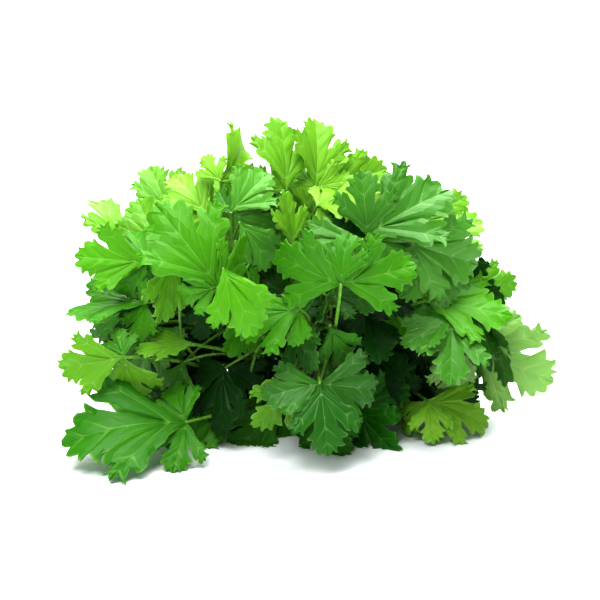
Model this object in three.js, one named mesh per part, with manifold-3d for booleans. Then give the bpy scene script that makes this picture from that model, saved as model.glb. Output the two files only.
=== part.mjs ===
// A bunch of cut flat-leaf parsley, lying on a surface with its leafy head to the front.
// Millimetres, +Z up. The stalks run back along +Y from the head to their cut ends.
// The model is built from the neck, on the surface under the middle stalks, and is then moved so that the
// origin is on the surface under the middle of the whole bunch.

import * as THREE from "three";
import Module from "manifold-3d";

const wasm = await Module();
wasm.setup();
const { degToRad } = THREE.MathUtils;

const BUNCH_MIDDLE = new THREE.Vector3(1.9, -18.7, 0); // middle of the whole bunch, from the neck

// Stalks
const CUT_END = 122; // from the neck back to the longest cut end
const CUT_UNEVEN = 7; // how much shorter the shortest stalk is cut
const NECK = -8; // where the stalks begin to part
const MAIN_STEPS = 6; // pieces of a stalk's course from there to its leaf
const FORK_STEP = 4; // the step at which its side leaves branch off
const BRANCH_STEPS = 3;
const CUT_RADIUS = 1.5;
const NECK_RADIUS = 1.25;
const TIP_RADIUS = 0.8;
const BRANCH_RADIUS = 0.75;
const BRANCH_TIP_RADIUS = 0.62;
const STALK_SIDES = 5;
const BRANCH_SIDES = 4;
const FLAT_DROP = 0.15; // how far the bottom row is pressed flat on the surface
const ROWS = [10, 9, 8, 7, 5, 3]; // stalks in each row of the pile, from the bottom
const CUT_SPACING = 3.7;
const NECK_SPACING = 3.4;
const CUT_PITCH = 3.1; // from one row to the next
const NECK_PITCH = 2.95;

// Leaflets
const THICKNESS = 0.7;
const GAP = 0.35; // kept between one leafy stem and the next
const STALKLET = 0.11; // bare foot of a leaflet, as a share of its length
const FOOT = 0.65; // half width of that foot
const MIDRIB_AT = 0.46; // place of the point on the midrib, as a share of the length
const HUB = 2.4; // length of the stalk's tip that carries the side leaflets
const HUB_WIDTH = 0.6; // half width and half height of that tip
const HUB_HEIGHT = 0.4;
const SIDE_DROOP = 14; // degrees by which side leaflets hang below the middle one

// Right half of a leaflet's rim from its tip to its foot: degrees from the midrib, reach as a share of the
// length, and the detail from which the point is kept
const RIM = [
  [0, 1.0, 1],
  [9, 0.93, 2],
  [18, 0.8, 1],
  [21, 0.5, 1],
  [28, 0.75, 1],
  [36, 0.82, 2],
  [43, 0.7, 1],
  [49, 0.46, 2],
];

// Front view: looking at the middle of the head from this far, and down by this much
const VIEW_DISTANCE = 900;
const VIEW_DOWN = degToRad(18);
const HEAD_AHEAD = 95;
const HEAD_HEIGHT = 72;
const MIDDLE = new THREE.Vector3(0, -HEAD_AHEAD, HEAD_HEIGHT);
const AHEAD = new THREE.Vector3(0, Math.cos(VIEW_DOWN), -Math.sin(VIEW_DOWN));
const TO_VIEWER = AHEAD.clone().negate();
const RIGHT = new THREE.Vector3(1, 0, 0);
const UPWARDS = new THREE.Vector3(0, Math.sin(VIEW_DOWN), Math.cos(VIEW_DOWN));

// One leaf of the front: across and up say where in the front view its leaflets meet, from the middle of the
// head; depth is how far behind the middle it stands; way is the middle leaflet's direction in
// that view, anticlockwise from the right; lean is how far it leans to the viewer and turn how far it rolls
// about its midrib; spread parts the side leaflets from the middle one, and sizes are the lengths of the
// middle, left and right leaflet.
const leaf = (across, up, depth, way, lean, turn, spread, ...sizes) => ({
  across, up, depth, way, lean, turn, spread, sizes, detail: 2,
});

// A plainer leaf inside the head, behind the others
const inner = (...numbers) => ({ ...leaf(...numbers), detail: 1 });

const stem = (tone, ...leaves) => ({ tone, leaves });

const FRONT = [
  stem("fresh", leaf(-60, -63, -32, 181, 8, 4, 70, 54, 29, 22)),
  stem("light", leaf(-90, -32, -28, 190, 6, 0, 92, 28, 27, 15), leaf(-68, 15, -24, 265, 8, -45, 60, 28)),
  stem("fresh", leaf(-79, 13, -8, 170, 5, 10, 62, 30, 21, 20), leaf(-79, -6, -6, 188, 5, 35, 62, 34, 18)),
  stem("light", leaf(-72, 19, 4, 106, 0, 28, 60, 30, 18), leaf(-88, 17, 12, 98, 0, 58, 60, 32)),
  stem("fresh", leaf(-45, 2, -46, 123, 10, 0, 74, 43, 20, 25), leaf(-42, 10, -52, 290, 4, -12, 60, 31)),
  stem("light", leaf(-50, 36, -4, 118, 0, 10, 62, 26, 15, 17), leaf(-67, 36, 36, 115, 0, 0, 60, 27)),
  stem("mature", leaf(-38, 37, -14, 53, 4, -8, 72, 25, 14, 23), leaf(-34, 32, -18, 310, 4, -20, 60, 24)),
  stem("light", leaf(-12, 48, 6, 86, 0, 30, 60, 33, 18), leaf(-9, 21, -12, 96, 0, 50, 60, 24)),
  stem("light", leaf(2, 50, 14, 80, 0, -8, 64, 31, 17, 19), leaf(9, 48, 24, 25, 0, 0, 60, 28)),
  stem("light", leaf(3, 40, -4, 4, 0, -25, 60, 28, 18, 16)),
  stem("light", leaf(-43, 52, -2, 44, 2, 8, 76, 32, 15, 12)),
  stem("mature", leaf(27, 26, -24, 30, 6, -6, 56, 42, 28, 25), leaf(24, 24, -30, 197, 12, 22, 60, 30)),
  stem("light", leaf(73, 0, 30, 12, 0, 8, 60, 26), leaf(52, 31, 20, 35, 0, 0, 60, 25, 15, 15)),
  stem("mature", leaf(42, 24, -18, 343, 4, -5, 66, 40, 22, 20), leaf(42, 2, 4, 302, 4, 10, 62, 28, 18)),
  stem("fresh", leaf(54, -5, -8, 350, 4, -5, 62, 38, 20, 20)),
  stem("fresh", leaf(14, 3, -50, 90, 10, -20, 74, 22, 33, 32)),
  stem("fresh", leaf(9, -17, -30, 356, 6, -10, 62, 44, 22, 20), leaf(-6, -9, -40, 195, 6, 12, 62, 29, 16)),
  stem(
    "deep",
    leaf(3, -14, -16, 190, 4, -20, 62, 27),
    leaf(-41, -37, -10, 268, 4, 0, 66, 31, 22, 20),
    inner(-32, -24, 16, 278, 0, 10, 66, 34, 27, 25),
  ),
  stem("light", leaf(-7, -38, -32, 245, 8, -40, 62, 31, 13)),
  stem("light", leaf(-55, -26, -14, 183, 10, 30, 62, 26), leaf(-60, -34, -8, 242, 0, 60, 60, 24)),
  stem("mature", leaf(4, -45, -44, 275, 8, 0, 76, 30, 30, 25), inner(8, -34, -4, 265, 4, 0, 66, 32, 25, 25)),
  stem("light", leaf(56, -53, -6, 285, 38, 0, 70, 20, 31, 19)),
  stem("light", leaf(76, -25, 28, 333, 4, 0, 54, 43, 31, 14), leaf(69, -25, 8, 268, 8, 5, 62, 27, 18, 18)),
  stem(
    "deep",
    leaf(-50, -5, -4, 192, 4, 10, 62, 38, 18, 18),
    leaf(-62, -36, 6, 268, 0, 10, 60, 27, 18),
    inner(-54, -20, 24, 262, 0, -8, 66, 35, 28, 26),
  ),
  stem(
    "deep",
    leaf(54, -31, 6, 264, 4, 0, 64, 30, 20, 20),
    leaf(21, -26, -8, 185, 4, -30, 60, 26),
    inner(32, -22, 18, 272, 0, 8, 66, 35, 27, 27),
  ),
  stem(
    "deep",
    leaf(-46, -44, 4, 250, 0, 0, 66, 30, 20, 20),
    leaf(-19, -50, -2, 275, 0, 10, 62, 27, 18),
    inner(-28, -44, 20, 264, 0, 0, 66, 30, 25, 25),
  ),
  stem(
    "deep",
    leaf(36, -43, 6, 278, 0, -10, 66, 31, 20, 21),
    leaf(62, -38, 14, 300, 0, 0, 62, 27, 18),
    inner(50, -40, 26, 270, 0, 0, 66, 30, 25, 25),
  ),
  stem(
    "mature",
    leaf(-76, -17, 4, 246, 0, 20, 66, 31, 20, 18),
    leaf(-82, -36, 6, 262, 0, 0, 62, 27),
    inner(-84, -10, 20, 250, 0, 0, 66, 30, 24, 24),
  ),
];

// The other leafy stems fill the inside and the back of the head, by a rule with a seeded draw
const FILL_STEMS = 14;
const FILL_SEED = 71;
const FILL_CENTRE = new THREE.Vector3(0, -78, 46);
const FILL_RADII = new THREE.Vector3(80, 44, 68);
const FILL_SIZE = [30, 38];
const FILL_SIDE = 35; // from the end leaf to each side leaf
const FILL_TONES = ["mature", "deep", "fresh", "deep"];

const TONES = {
  light: { color: 0x8fce2f, roughness: 0.5 },
  fresh: { color: 0x58ad1e, roughness: 0.48 },
  mature: { color: 0x4c9a34, roughness: 0.45 },
  deep: { color: 0x2a7018, roughness: 0.5 },
};

// A leaflet that would touch another stem is bent clear: these tries are made in order
const TRY_SIZES = [1, 0.86, 0.72, 0.58];
const TRY_PITCHES = [0, 14, -14, 28, -28, 42, -42];
const TRY_ROLLS = [0, 20, -20, 40, -40];
const LOWEST_RIM = -0.65; // how low the widened blade may reach
const WIDE_PART = 0.03; // where a blade's wide part begins: its foot may touch its own leaf

// The stalks are bent apart in small steps, until they keep this much clear of each other
const BEND_ROUNDS = 220;
const STALK_GAP = 0.7;
const LOWEST = 1.35; // height of a bent stalk's axis over the surface
const BEND_EVEN = 0.032; // how much of a bend spreads along the stalk in a step

// A seeded draw for one piece, so that each piece keeps its form whatever else changes
function drawFor(...numbers) {
  let seed = numbers.reduce((sum, n) => (sum * 131 + n + 7) % 2147483647, FILL_SEED);
  const draw = (low, high) => {
    seed = (seed * 16807) % 2147483647;
    return low + ((high - low) * seed) / 2147483647;
  };
  draw(0, 1);
  return draw;
}

const along = (from, way, far) => from.clone().addScaledVector(way, far);
const turned = (v, axis, degrees) => v.clone().applyAxisAngle(axis, degToRad(degrees));

// The point at that depth which the front view shows at that place
function seen(across, up, depth) {
  const eye = along(MIDDLE, AHEAD, -VIEW_DISTANCE);
  const ray = along(along(MIDDLE, RIGHT, across), UPWARDS, up).sub(eye);
  return along(eye, ray, (depth - HEAD_AHEAD - eye.y) / ray.y);
}

// Where a front leaf sits, and the way it points and faces
function frontLeaf(leaf) {
  const flat = RIGHT.clone().multiplyScalar(Math.cos(degToRad(leaf.way)));
  flat.addScaledVector(UPWARDS, Math.sin(degToRad(leaf.way)));
  const lean = degToRad(leaf.lean);
  const way = flat.multiplyScalar(Math.cos(lean)).addScaledVector(TO_VIEWER, Math.sin(lean));
  const face = along(TO_VIEWER, way, -TO_VIEWER.dot(way)).normalize();
  return {
    at: seen(leaf.across, leaf.up, leaf.depth),
    way,
    face: turned(face, way, leaf.turn),
    sizes: leaf.sizes,
    spread: leaf.spread,
    detail: leaf.detail,
  };
}

// A filling stem: three leaves near one direction out of the head's middle
function fillStem(number) {
  const draw = drawFor(1, number);
  const round = number * 137.5;
  const high = 0.08 + (0.86 * (number + 0.5)) / FILL_STEMS;
  const level = Math.sqrt(1 - high * high);
  const outward = new THREE.Vector3(
    level * Math.cos(degToRad(round)),
    level * Math.sin(degToRad(round)),
    high,
  );
  const depth = outward.y > -0.15 ? 1 : 0.35;
  const at = FILL_RADII.clone().multiply(outward).multiplyScalar(depth).add(FILL_CENTRE);
  const leaves = [];
  for (const side of [0, 1, -1]) {
    const across = new THREE.Vector3(-outward.y, outward.x, 0.3 * side).normalize();
    const place = along(along(at, across, side * FILL_SIDE), outward, side ? -14 : 0);
    place.z = Math.max(place.z, 16);
    const face = outward.clone().add(new THREE.Vector3(draw(-0.4, 0.4), draw(-0.4, 0.4), draw(0, 0.6)));
    face.normalize();
    const wish = new THREE.Vector3(outward.x, outward.y, -0.2);
    wish.addScaledVector(across, side + draw(-0.5, 0.5));
    const way = along(wish, face, -wish.dot(face)).normalize();
    const size = draw(...FILL_SIZE) * (side ? 0.85 : 1);
    leaves.push({
      at: place,
      way,
      face,
      sizes: [size, side < 0 ? 0 : size * 0.83, side > 0 ? 0 : size * 0.83],
      spread: draw(60, 76),
      detail: 1,
    });
  }
  return stem(FILL_TONES[number % FILL_TONES.length], ...leaves);
}

// A leaflet's blade: its rim bends down along the midrib, folds along it and ripples
function bladePoint(blade, s, t) {
  const { bend, fold, cup, ripple, phase } = blade.form;
  const turn = bend * t;
  const round = Math.atan2(s, Math.max(t, 0.05));
  const lift = fold * Math.abs(s) - cup * s * s + ripple * (s * s + t * t) * Math.sin(7 * round + phase);
  const out = blade.way.clone().multiplyScalar(Math.sin(turn) / bend);
  out.addScaledVector(blade.face, (Math.cos(turn) - 1) / bend);
  const normal = blade.face.clone().multiplyScalar(Math.cos(turn)).addScaledVector(blade.way, Math.sin(turn));
  out.addScaledVector(blade.side, s).addScaledVector(normal, lift);
  return { point: along(blade.at, out, blade.size), normal };
}

function bladeForm(draw) {
  return {
    bend: draw(0.25, 0.95),
    fold: draw(0.02, 0.22),
    cup: draw(-0.05, 0.35),
    ripple: draw(0.02, 0.07),
    phase: draw(0, 6.28),
  };
}

// The blade in its own plane: its rim from the tip down the right, its two foot corners, up the left, and one
// point on the midrib; it is cut off at the foot, or above it where only its wide part is wanted
function bladePlan(detail, size, footAt) {
  const half = RIM.filter(([, , from]) => from <= detail);
  const place = ([round, reach]) => [reach * Math.sin(degToRad(round)), reach * Math.cos(degToRad(round))];
  const right = [...half.slice(1).map(place), [FOOT / size, footAt]];
  const left = right.map(([s, t]) => [-s, t]).reverse();
  const points = [place(half[0]), ...right, ...left, [0, MIDRIB_AT]];
  const middle = points.length - 1;
  const foot = right.length;
  const sides = [
    [...Array(foot + 1).keys(), middle],
    [0, middle, ...Array.from({ length: foot }, (_, i) => foot + 1 + i)],
  ];
  const faces = [[foot + 1, foot, middle]];
  for (const side of sides) {
    const outline = side.map((i) => new THREE.Vector2(...points[i]));
    for (const face of THREE.ShapeUtils.triangulateShape(outline, [])) faces.push(face.map((i) => side[i]));
  }
  return { points, faces, foot };
}

// A closed skin under construction
class Skin {
  positions = [];
  index = [];

  add(point) {
    this.positions.push(point.x, point.y, point.z);
    return this.positions.length / 3 - 1;
  }

  face(a, b, c) {
    if (a !== b && b !== c && c !== a) this.index.push(a, b, c);
  }

  // Four-cornered face, or strip of such faces between two rings of corners
  quad(a, b, c, d) {
    this.face(a, b, c);
    this.face(a, c, d);
  }

  band(ring, next) {
    ring.forEach((a, k) => {
      const after = (k + 1) % ring.length;
      this.quad(a, ring[after], next[after], next[k]);
    });
  }

  solid() {
    const solid = new wasm.Manifold(
      new wasm.Mesh({
        numProp: 3,
        vertProperties: new Float32Array(this.positions),
        triVerts: new Uint32Array(this.index),
      }),
    );
    const { min, max } = solid.boundingBox();
    return { solid, box: new THREE.Box3(new THREE.Vector3(...min), new THREE.Vector3(...max)) };
  }
}

// Slab over a blade's plan, with alike triangles on both faces; it grows from the four foot corners given
// (right upper, right lower, left upper, left lower), or is closed at its own foot
function growBlade(skin, blade, corners, thickness, footAt) {
  const { points, faces, foot } = bladePlan(blade.detail, blade.size, footAt);
  const layer = (level) =>
    points.map(([s, t], i) => {
      if (corners && (i === foot || i === foot + 1)) return corners[2 * (i - foot) + (level > 0 ? 0 : 1)];
      const { point, normal } = bladePoint(blade, s, t);
      return skin.add(point.addScaledVector(normal, level * thickness));
    });
  const upper = layer(0.5);
  const lower = layer(-0.5);
  for (const [a, b, c] of faces) {
    skin.face(upper[a], upper[b], upper[c]);
    skin.face(lower[a], lower[c], lower[b]);
  }
  const rim = points.length - 1;
  for (let i = 0; i < rim; i++) {
    const next = (i + 1) % rim;
    if (!(corners && i === foot)) skin.quad(upper[i], upper[next], lower[next], lower[i]);
  }
}

// The blade alone, closed at its foot
function bladeSolid(blade, thickness, footAt) {
  const skin = new Skin();
  growBlade(skin, blade, null, thickness, footAt);
  return skin.solid();
}

// Rings of corners along a stalk, its first corner upwards
function stalkRings(skin, points, radii, sides) {
  let corner = new THREE.Vector3(0, 0, 1);
  return points.map((point, i) => {
    const after = points[Math.min(i + 1, points.length - 1)];
    const way = after.clone().sub(points[Math.max(i - 1, 0)]).normalize();
    corner = along(corner, way, -corner.dot(way)).normalize();
    return Array.from({ length: sides }, (_, k) =>
      skin.add(along(point, turned(corner, way, (360 * k) / sides), radii[i])),
    );
  });
}

function growStalk(skin, points, radii, sides) {
  const rings = stalkRings(skin, points, radii, sides);
  rings.slice(1).forEach((ring, i) => skin.band(rings[i], ring));
  for (let k = 1; k + 1 < sides; k++) skin.face(rings[0][0], rings[0][k + 1], rings[0][k]);
  return rings[rings.length - 1];
}

// The bare stalk, closed at both ends
function stalkSolid(points, radii, sides) {
  const skin = new Skin();
  const last = growStalk(skin, points, radii, sides);
  for (let k = 1; k + 1 < sides; k++) skin.face(last[0], last[k], last[k + 1]);
  return skin.solid();
}

// The stalk's four-cornered tip: each end's corners are right upper, right lower, left lower, left upper
function tipCorners(leaf) {
  const ahead = leaf.back.clone().negate();
  const side = new THREE.Vector3().crossVectors(leaf.way, leaf.face);
  side.addScaledVector(ahead, -side.dot(ahead)).normalize();
  const up = new THREE.Vector3().crossVectors(side, ahead);
  const corner = (at, s, u) => along(along(at, side, s * HUB_WIDTH), up, u * HUB_HEIGHT);
  const end = (at) => [corner(at, 1, 1), corner(at, 1, -1), corner(at, -1, -1), corner(at, -1, 1)];
  return [end(along(leaf.at, leaf.back, HUB)), end(leaf.at)];
}

// Joins a stalk's last ring to the tip's four corners by the turn that twists it least; a ring with five
// corners meets one of them twice
function growTip(skin, ring, corners) {
  const tip = corners.map((corner) => skin.add(corner));
  const place = (i) => new THREE.Vector3().fromArray(skin.positions, 3 * i);
  const doubled = (twice) => tip.flatMap((corner) => (corner === twice ? [corner, corner] : [corner]));
  const orders = ring.length === tip.length ? [tip] : tip.map(doubled);
  let best = { twist: Infinity };
  for (const order of orders) {
    for (let turn = 0; turn < ring.length; turn++) {
      const next = ring.map((_, k) => order[(k + turn) % order.length]);
      const twist = ring.reduce((sum, a, k) => sum + place(a).distanceToSquared(place(next[k])), 0);
      if (twist < best.twist) best = { twist, next };
    }
  }
  skin.band(ring, best.next);
  return tip;
}

// A stalk with its leaf grown out of its tip
function leafStalk(leaf, { points, radii }, sides) {
  const skin = new Skin();
  const inner = points.slice(0, -1);
  const ring = growStalk(skin, inner, radii.slice(0, -1), sides);
  const [back, front] = tipCorners(leaf);
  const a = growTip(skin, ring, back);
  const b = front.map((corner) => skin.add(corner));
  skin.quad(a[3], a[0], b[0], b[3]);
  skin.quad(a[1], a[2], b[2], b[1]);
  const [middle, left, right] = leaf.blades;
  const grow = (blade, corners) => {
    const [rightUpper, rightLower, leftUpper, leftLower] = corners;
    if (blade) growBlade(skin, blade, corners, THICKNESS, -STALKLET);
    else skin.quad(rightUpper, rightLower, leftLower, leftUpper);
  };
  grow(middle, [b[0], b[1], b[3], b[2]]);
  grow(left, [b[3], b[2], a[3], a[2]]);
  grow(right, [a[0], a[1], b[0], b[1]]);
  return skin.solid().solid;
}

function facing(positions, index) {
  const geometry = new THREE.BufferGeometry();
  geometry.setAttribute("position", new THREE.Float32BufferAttribute(positions, 3));
  geometry.setIndex(index);
  return geometry;
}

// Whether a piece keeps clear of every piece of the other stems
function isClear(piece, others) {
  return others.every(({ solid, box }) => {
    if (!box.intersectsBox(piece.box)) return true;
    const common = piece.solid.intersect(solid);
    const clear = common.volume() < 1e-4;
    common.delete();
    return clear;
  });
}

// The stalks of low leaves lie in the low rows of the pile, each row in its leaves' order across
function placeStems(stems) {
  const rising = [...stems].sort((a, b) => a.leaves[0].at.z - b.leaves[0].at.z);
  ROWS.forEach((count, row) => {
    const line = rising.splice(0, count).sort((a, b) => a.leaves[0].at.x - b.leaves[0].at.x);
    line.forEach((stem, i) => {
      stem.place = { across: i - (line.length - 1) / 2, row };
    });
  });
}

// Axis height of a stalk in a row of the pile
const rowHeight = (row, radius, pitch) => radius * Math.cos(Math.PI / STALK_SIDES) - FLAT_DROP + row * pitch;

function bezier(a, b, c, d, t) {
  const u = 1 - t;
  const point = a.clone().multiplyScalar(u * u * u);
  point.addScaledVector(b, 3 * u * u * t).addScaledVector(c, 3 * u * t * t).addScaledVector(d, t * t * t);
  return point;
}

// A leaf stalk's course from one point to a leaf
function courseTo(from, start, leaf, steps) {
  const reach = from.distanceTo(leaf.at);
  const straight = leaf.at.clone().sub(from).normalize();
  const arrive = straight.clone().multiplyScalar(0.65).addScaledVector(leaf.way, 0.35).normalize();
  const second = along(from, start, reach * 0.38);
  const third = along(leaf.at, arrive, -reach * 0.36);
  const course = Array.from({ length: steps + 1 }, (_, i) => bezier(from, second, third, leaf.at, i / steps));
  return [from, ...course.slice(1, -1), leaf.at];
}

const FORWARD = new THREE.Vector3(0, -1, 0);

// The stalk from its cut end, through its place in the pile, to the end leaf
function mainCourse(stem, number) {
  const { across, row } = stem.place;
  const draw = drawFor(2, number);
  const cut = new THREE.Vector3(
    across * CUT_SPACING,
    CUT_END - draw(0, CUT_UNEVEN),
    rowHeight(row, CUT_RADIUS, CUT_PITCH),
  );
  const neck = new THREE.Vector3(across * NECK_SPACING, NECK, rowHeight(row, NECK_RADIUS, NECK_PITCH));
  return [cut, ...courseTo(neck, FORWARD, stem.leaves[0], MAIN_STEPS)];
}

const radiiAlong = (count, first, last) =>
  Array.from({ length: count }, (_, i) => first + ((last - first) * i) / (count - 1));

const mainRadii = (count) => [CUT_RADIUS, ...radiiAlong(count - 1, NECK_RADIUS, TIP_RADIUS)];
const branchRadii = (count) => radiiAlong(count, BRANCH_RADIUS, BRANCH_TIP_RADIUS);

// Every stem's stalks as lines through points; the side stalks share a point with the main one
function stalkLines(stems) {
  return stems.map((stem, number) => {
    const main = mainCourse(stem, number);
    const fork = main[1 + FORK_STEP];
    const start = fork.clone().sub(main[FORK_STEP]).normalize();
    const sides = stem.leaves.slice(1).map((leaf) => courseTo(fork, start, leaf, BRANCH_STEPS));
    return [
      { points: main, radii: mainRadii(main.length) },
      ...sides.map((points) => ({ points, radii: branchRadii(points.length) })),
    ];
  });
}

// Shares along two straight pieces at which they come nearest each other
function nearest(a, b, c, d) {
  const [u, v, w] = [b.clone().sub(a), d.clone().sub(c), a.clone().sub(c)];
  const [uu, uv, vv, uw, vw] = [u.dot(u), u.dot(v), v.dot(v), u.dot(w), v.dot(w)];
  const bottom = uu * vv - uv * uv;
  let s = bottom > 1e-9 ? THREE.MathUtils.clamp((uv * vw - vv * uw) / bottom, 0, 1) : 0;
  const t = THREE.MathUtils.clamp((uv * s + vw) / vv, 0, 1);
  s = THREE.MathUtils.clamp((uv * t - uw) / uu, 0, 1);
  return [s, t];
}

// The stalks as joints with straight pieces between them; cut ends, neck and leaf ends keep their places
function jointsAndPieces(lines) {
  const joints = [];
  const pieces = [];
  lines.forEach((stemLines, stem) => {
    const known = new Map();
    const jointAt = (point) => {
      if (!known.has(point)) known.set(point, { point, shift: new THREE.Vector3(), near: [], free: true });
      return known.get(point);
    };
    stemLines.forEach(({ points, radii }, line) => {
      const chain = points.map(jointAt);
      chain.forEach((joint, i) => {
        if (i === chain.length - 1 || (line === 0 && i < 2)) joint.free = false;
        if (i === 0) return;
        const from = chain[i - 1];
        joint.near.push(from);
        from.near.push(joint);
        pieces.push({ stem, from, to: joint, thick: Math.max(radii[i - 1], radii[i]) });
      });
    });
    joints.push(...known.values());
  });
  return { joints, pieces };
}

// Pushes two pieces of different stems apart, if they are too near each other
function pushApart(one, other) {
  const need = one.thick + other.thick + STALK_GAP;
  if (one.middle.distanceTo(other.middle) > one.half + other.half + need) return;
  const [s, t] = nearest(one.from.point, one.to.point, other.from.point, other.to.point);
  const way = one.from.point.clone().lerp(one.to.point, s);
  way.sub(other.from.point.clone().lerp(other.to.point, t));
  const apart = way.length();
  if (apart >= need) return;
  way.multiplyScalar((0.5 * (need - apart)) / apart);
  one.from.push.addScaledVector(way, 1 - s);
  one.to.push.addScaledVector(way, s);
  other.from.push.addScaledVector(way, t - 1);
  other.to.push.addScaledVector(way, -t);
}

// Moves the free joints by their push, evened out along the stalk and kept above the surface
function moveJoints(joints) {
  for (const joint of joints) {
    const even = new THREE.Vector3();
    for (const near of joint.near) even.addScaledVector(near.shift, 1 / joint.near.length);
    joint.next = joint.shift.clone().lerp(even, BEND_EVEN).add(joint.push);
    joint.next.z = Math.max(joint.next.z, joint.shift.z + LOWEST - joint.point.z);
  }
  for (const joint of joints) {
    joint.point.add(joint.next).sub(joint.shift);
    joint.shift.copy(joint.next);
  }
}

// Bends the stalks apart where they would touch
function bendApart(lines) {
  const { joints, pieces } = jointsAndPieces(lines);
  for (let round = 0; round < BEND_ROUNDS; round++) {
    for (const joint of joints) joint.push = new THREE.Vector3();
    for (const piece of pieces) {
      piece.middle = piece.from.point.clone().lerp(piece.to.point, 0.5);
      piece.half = piece.from.point.distanceTo(piece.to.point) / 2;
    }
    pieces.forEach((one, i) => {
      for (const other of pieces.slice(i + 1)) if (other.stem !== one.stem) pushApart(one, other);
    });
    moveJoints(joints.filter(({ free }) => free));
  }
}

// A leaf's leaflets before they are bent clear: middle, left, right, with null for one that it hasn't
function bladesOf(leaf, stemNumber, leafNumber) {
  return leaf.sizes.map((size, i) => {
    if (!size) return null;
    const draw = drawFor(3, stemNumber, leafNumber, i);
    const sign = [0, 1, -1][i];
    const at = along(leaf.at, leaf.back, sign ? HUB / 2 : 0);
    const way = turned(leaf.way, leaf.face, sign * leaf.spread + draw(-6, 6));
    const side = new THREE.Vector3().crossVectors(way, leaf.face).normalize();
    const pitch = draw(-8, 8) + (sign ? SIDE_DROOP : 0);
    const roll = draw(-12, 12);
    return { at, way, face: leaf.face, side, size, pitch, roll, form: bladeForm(draw), detail: leaf.detail };
  });
}

// The blade as one try of size, pitch and roll leaves it
function posed(blade, [scale, pitch, roll]) {
  const down = -(blade.pitch + pitch);
  const way = turned(blade.way, blade.side, down);
  const pitched = turned(blade.face, blade.side, down);
  const face = turned(pitched, way, blade.roll + roll);
  const side = new THREE.Vector3().crossVectors(way, face).normalize();
  const size = blade.size * scale;
  return { ...blade, way, face, side, size, at: along(blade.at, way, STALKLET * size) };
}

const BLADE_TRIES = TRY_SIZES.flatMap((size) =>
  TRY_PITCHES.flatMap((pitch) => TRY_ROLLS.map((roll) => [size, pitch, roll])),
);

function growStalks(stem, lines) {
  stem.lines = lines;
  stem.pieces = [];
  stem.ownPieces = [];
  stem.leaves.forEach((leaf, i) => {
    const { points, radii } = lines[i];
    const sides = i ? BRANCH_SIDES : STALK_SIDES;
    leaf.back = points[points.length - 2].clone().sub(leaf.at).normalize();
    const short = [...points.slice(0, -1), along(leaf.at, leaf.back, 2 * HUB)];
    stem.pieces.push(stalkSolid(points, radii, sides));
    stem.ownPieces.push(stalkSolid(short, radii, sides));
  });
}

// The blade in the first of the tries that keeps it clear of everything else, or null
function clearBlade(blade, stem, others) {
  const wanted = BLADE_TRIES.find((one) => {
    const wide = bladeSolid(posed(blade, one), THICKNESS + 2 * GAP, -STALKLET);
    const own = bladeSolid(posed(blade, one), THICKNESS, WIDE_PART);
    const clear = wide.box.min.z > LOWEST_RIM && isClear(wide, others) && isClear(own, stem.ownPieces);
    wide.solid.delete();
    own.solid.delete();
    return clear;
  });
  return wanted ? posed(blade, wanted) : null;
}

function growLeaflets(stem, number, others) {
  stem.leaves.forEach((leaf, leafNumber) => {
    leaf.blades = bladesOf(leaf, number, leafNumber).map((blade) => {
      const kept = blade && clearBlade(blade, stem, others);
      if (!kept) return null;
      stem.pieces.push(bladeSolid(kept, THICKNESS, -STALKLET));
      stem.ownPieces.push(bladeSolid(kept, THICKNESS, WIDE_PART));
      return kept;
    });
  });
}

// One leafy stem as a mesh; the part of a low leaf that would be under the surface is pressed off flat
function stemMesh(stem, number) {
  const grown = stem.leaves.map((leaf, i) => leafStalk(leaf, stem.lines[i], i ? BRANCH_SIDES : STALK_SIDES));
  const joined = wasm.Manifold.union(grown).trimByPlane([0, 0, 1], 0);
  const [body] = joined.decompose().sort((a, b) => b.volume() - a.volume());
  const { vertProperties, triVerts } = body.getMesh();
  const geometry = facing(Array.from(vertProperties), Array.from(triVerts));
  geometry.computeVertexNormals();
  const material = new THREE.MeshStandardMaterial({ ...TONES[stem.tone], metalness: 0 });
  const mesh = new THREE.Mesh(geometry, material);
  mesh.name = "leafy_stem_" + String(number + 1).padStart(2, "0");
  return mesh;
}

function bunch() {
  const stems = FRONT.map(({ tone, leaves }) => stem(tone, ...leaves.map(frontLeaf)));
  for (let i = 0; i < FILL_STEMS; i++) stems.push(fillStem(i));
  placeStems(stems);
  const lines = stalkLines(stems);
  bendApart(lines);
  stems.forEach((one, i) => growStalks(one, lines[i]));
  stems.forEach((one, i) => {
    const others = stems.filter((other) => other !== one).flatMap(({ pieces }) => pieces);
    growLeaflets(one, i, others);
  });
  const group = new THREE.Group();
  stems.forEach((one, i) => group.add(stemMesh(one, i)));
  group.position.copy(BUNCH_MIDDLE).negate();
  return group;
}

export default bunch();
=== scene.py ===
# The looks of a bunch of cut flat-leaf parsley, lying with its leafy head to the front.
# Lengths in the tables are millimetres from the bunch's neck, as in the part's source; Blender's are metres.

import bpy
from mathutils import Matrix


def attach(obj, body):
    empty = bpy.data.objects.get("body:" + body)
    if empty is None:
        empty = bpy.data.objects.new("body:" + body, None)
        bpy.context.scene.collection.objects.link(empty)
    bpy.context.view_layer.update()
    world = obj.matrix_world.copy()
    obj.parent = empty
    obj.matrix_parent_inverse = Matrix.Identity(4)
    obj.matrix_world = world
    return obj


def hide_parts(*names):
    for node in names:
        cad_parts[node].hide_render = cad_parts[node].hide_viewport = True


bl_info = {
    "name": "Parsley bunch",
    "version": (1, 0, 0),
    "blender": (4, 5, 0),
    "location": "3D View > Sidebar > Parsley",
    "description": "Builds the leafy stems of a lying parsley bunch and its pale studio",
    "category": "Add Mesh",
}

import math

import bpy
import numpy as np
from mathutils import Matrix, Vector
from mathutils.kdtree import KDTree

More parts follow.
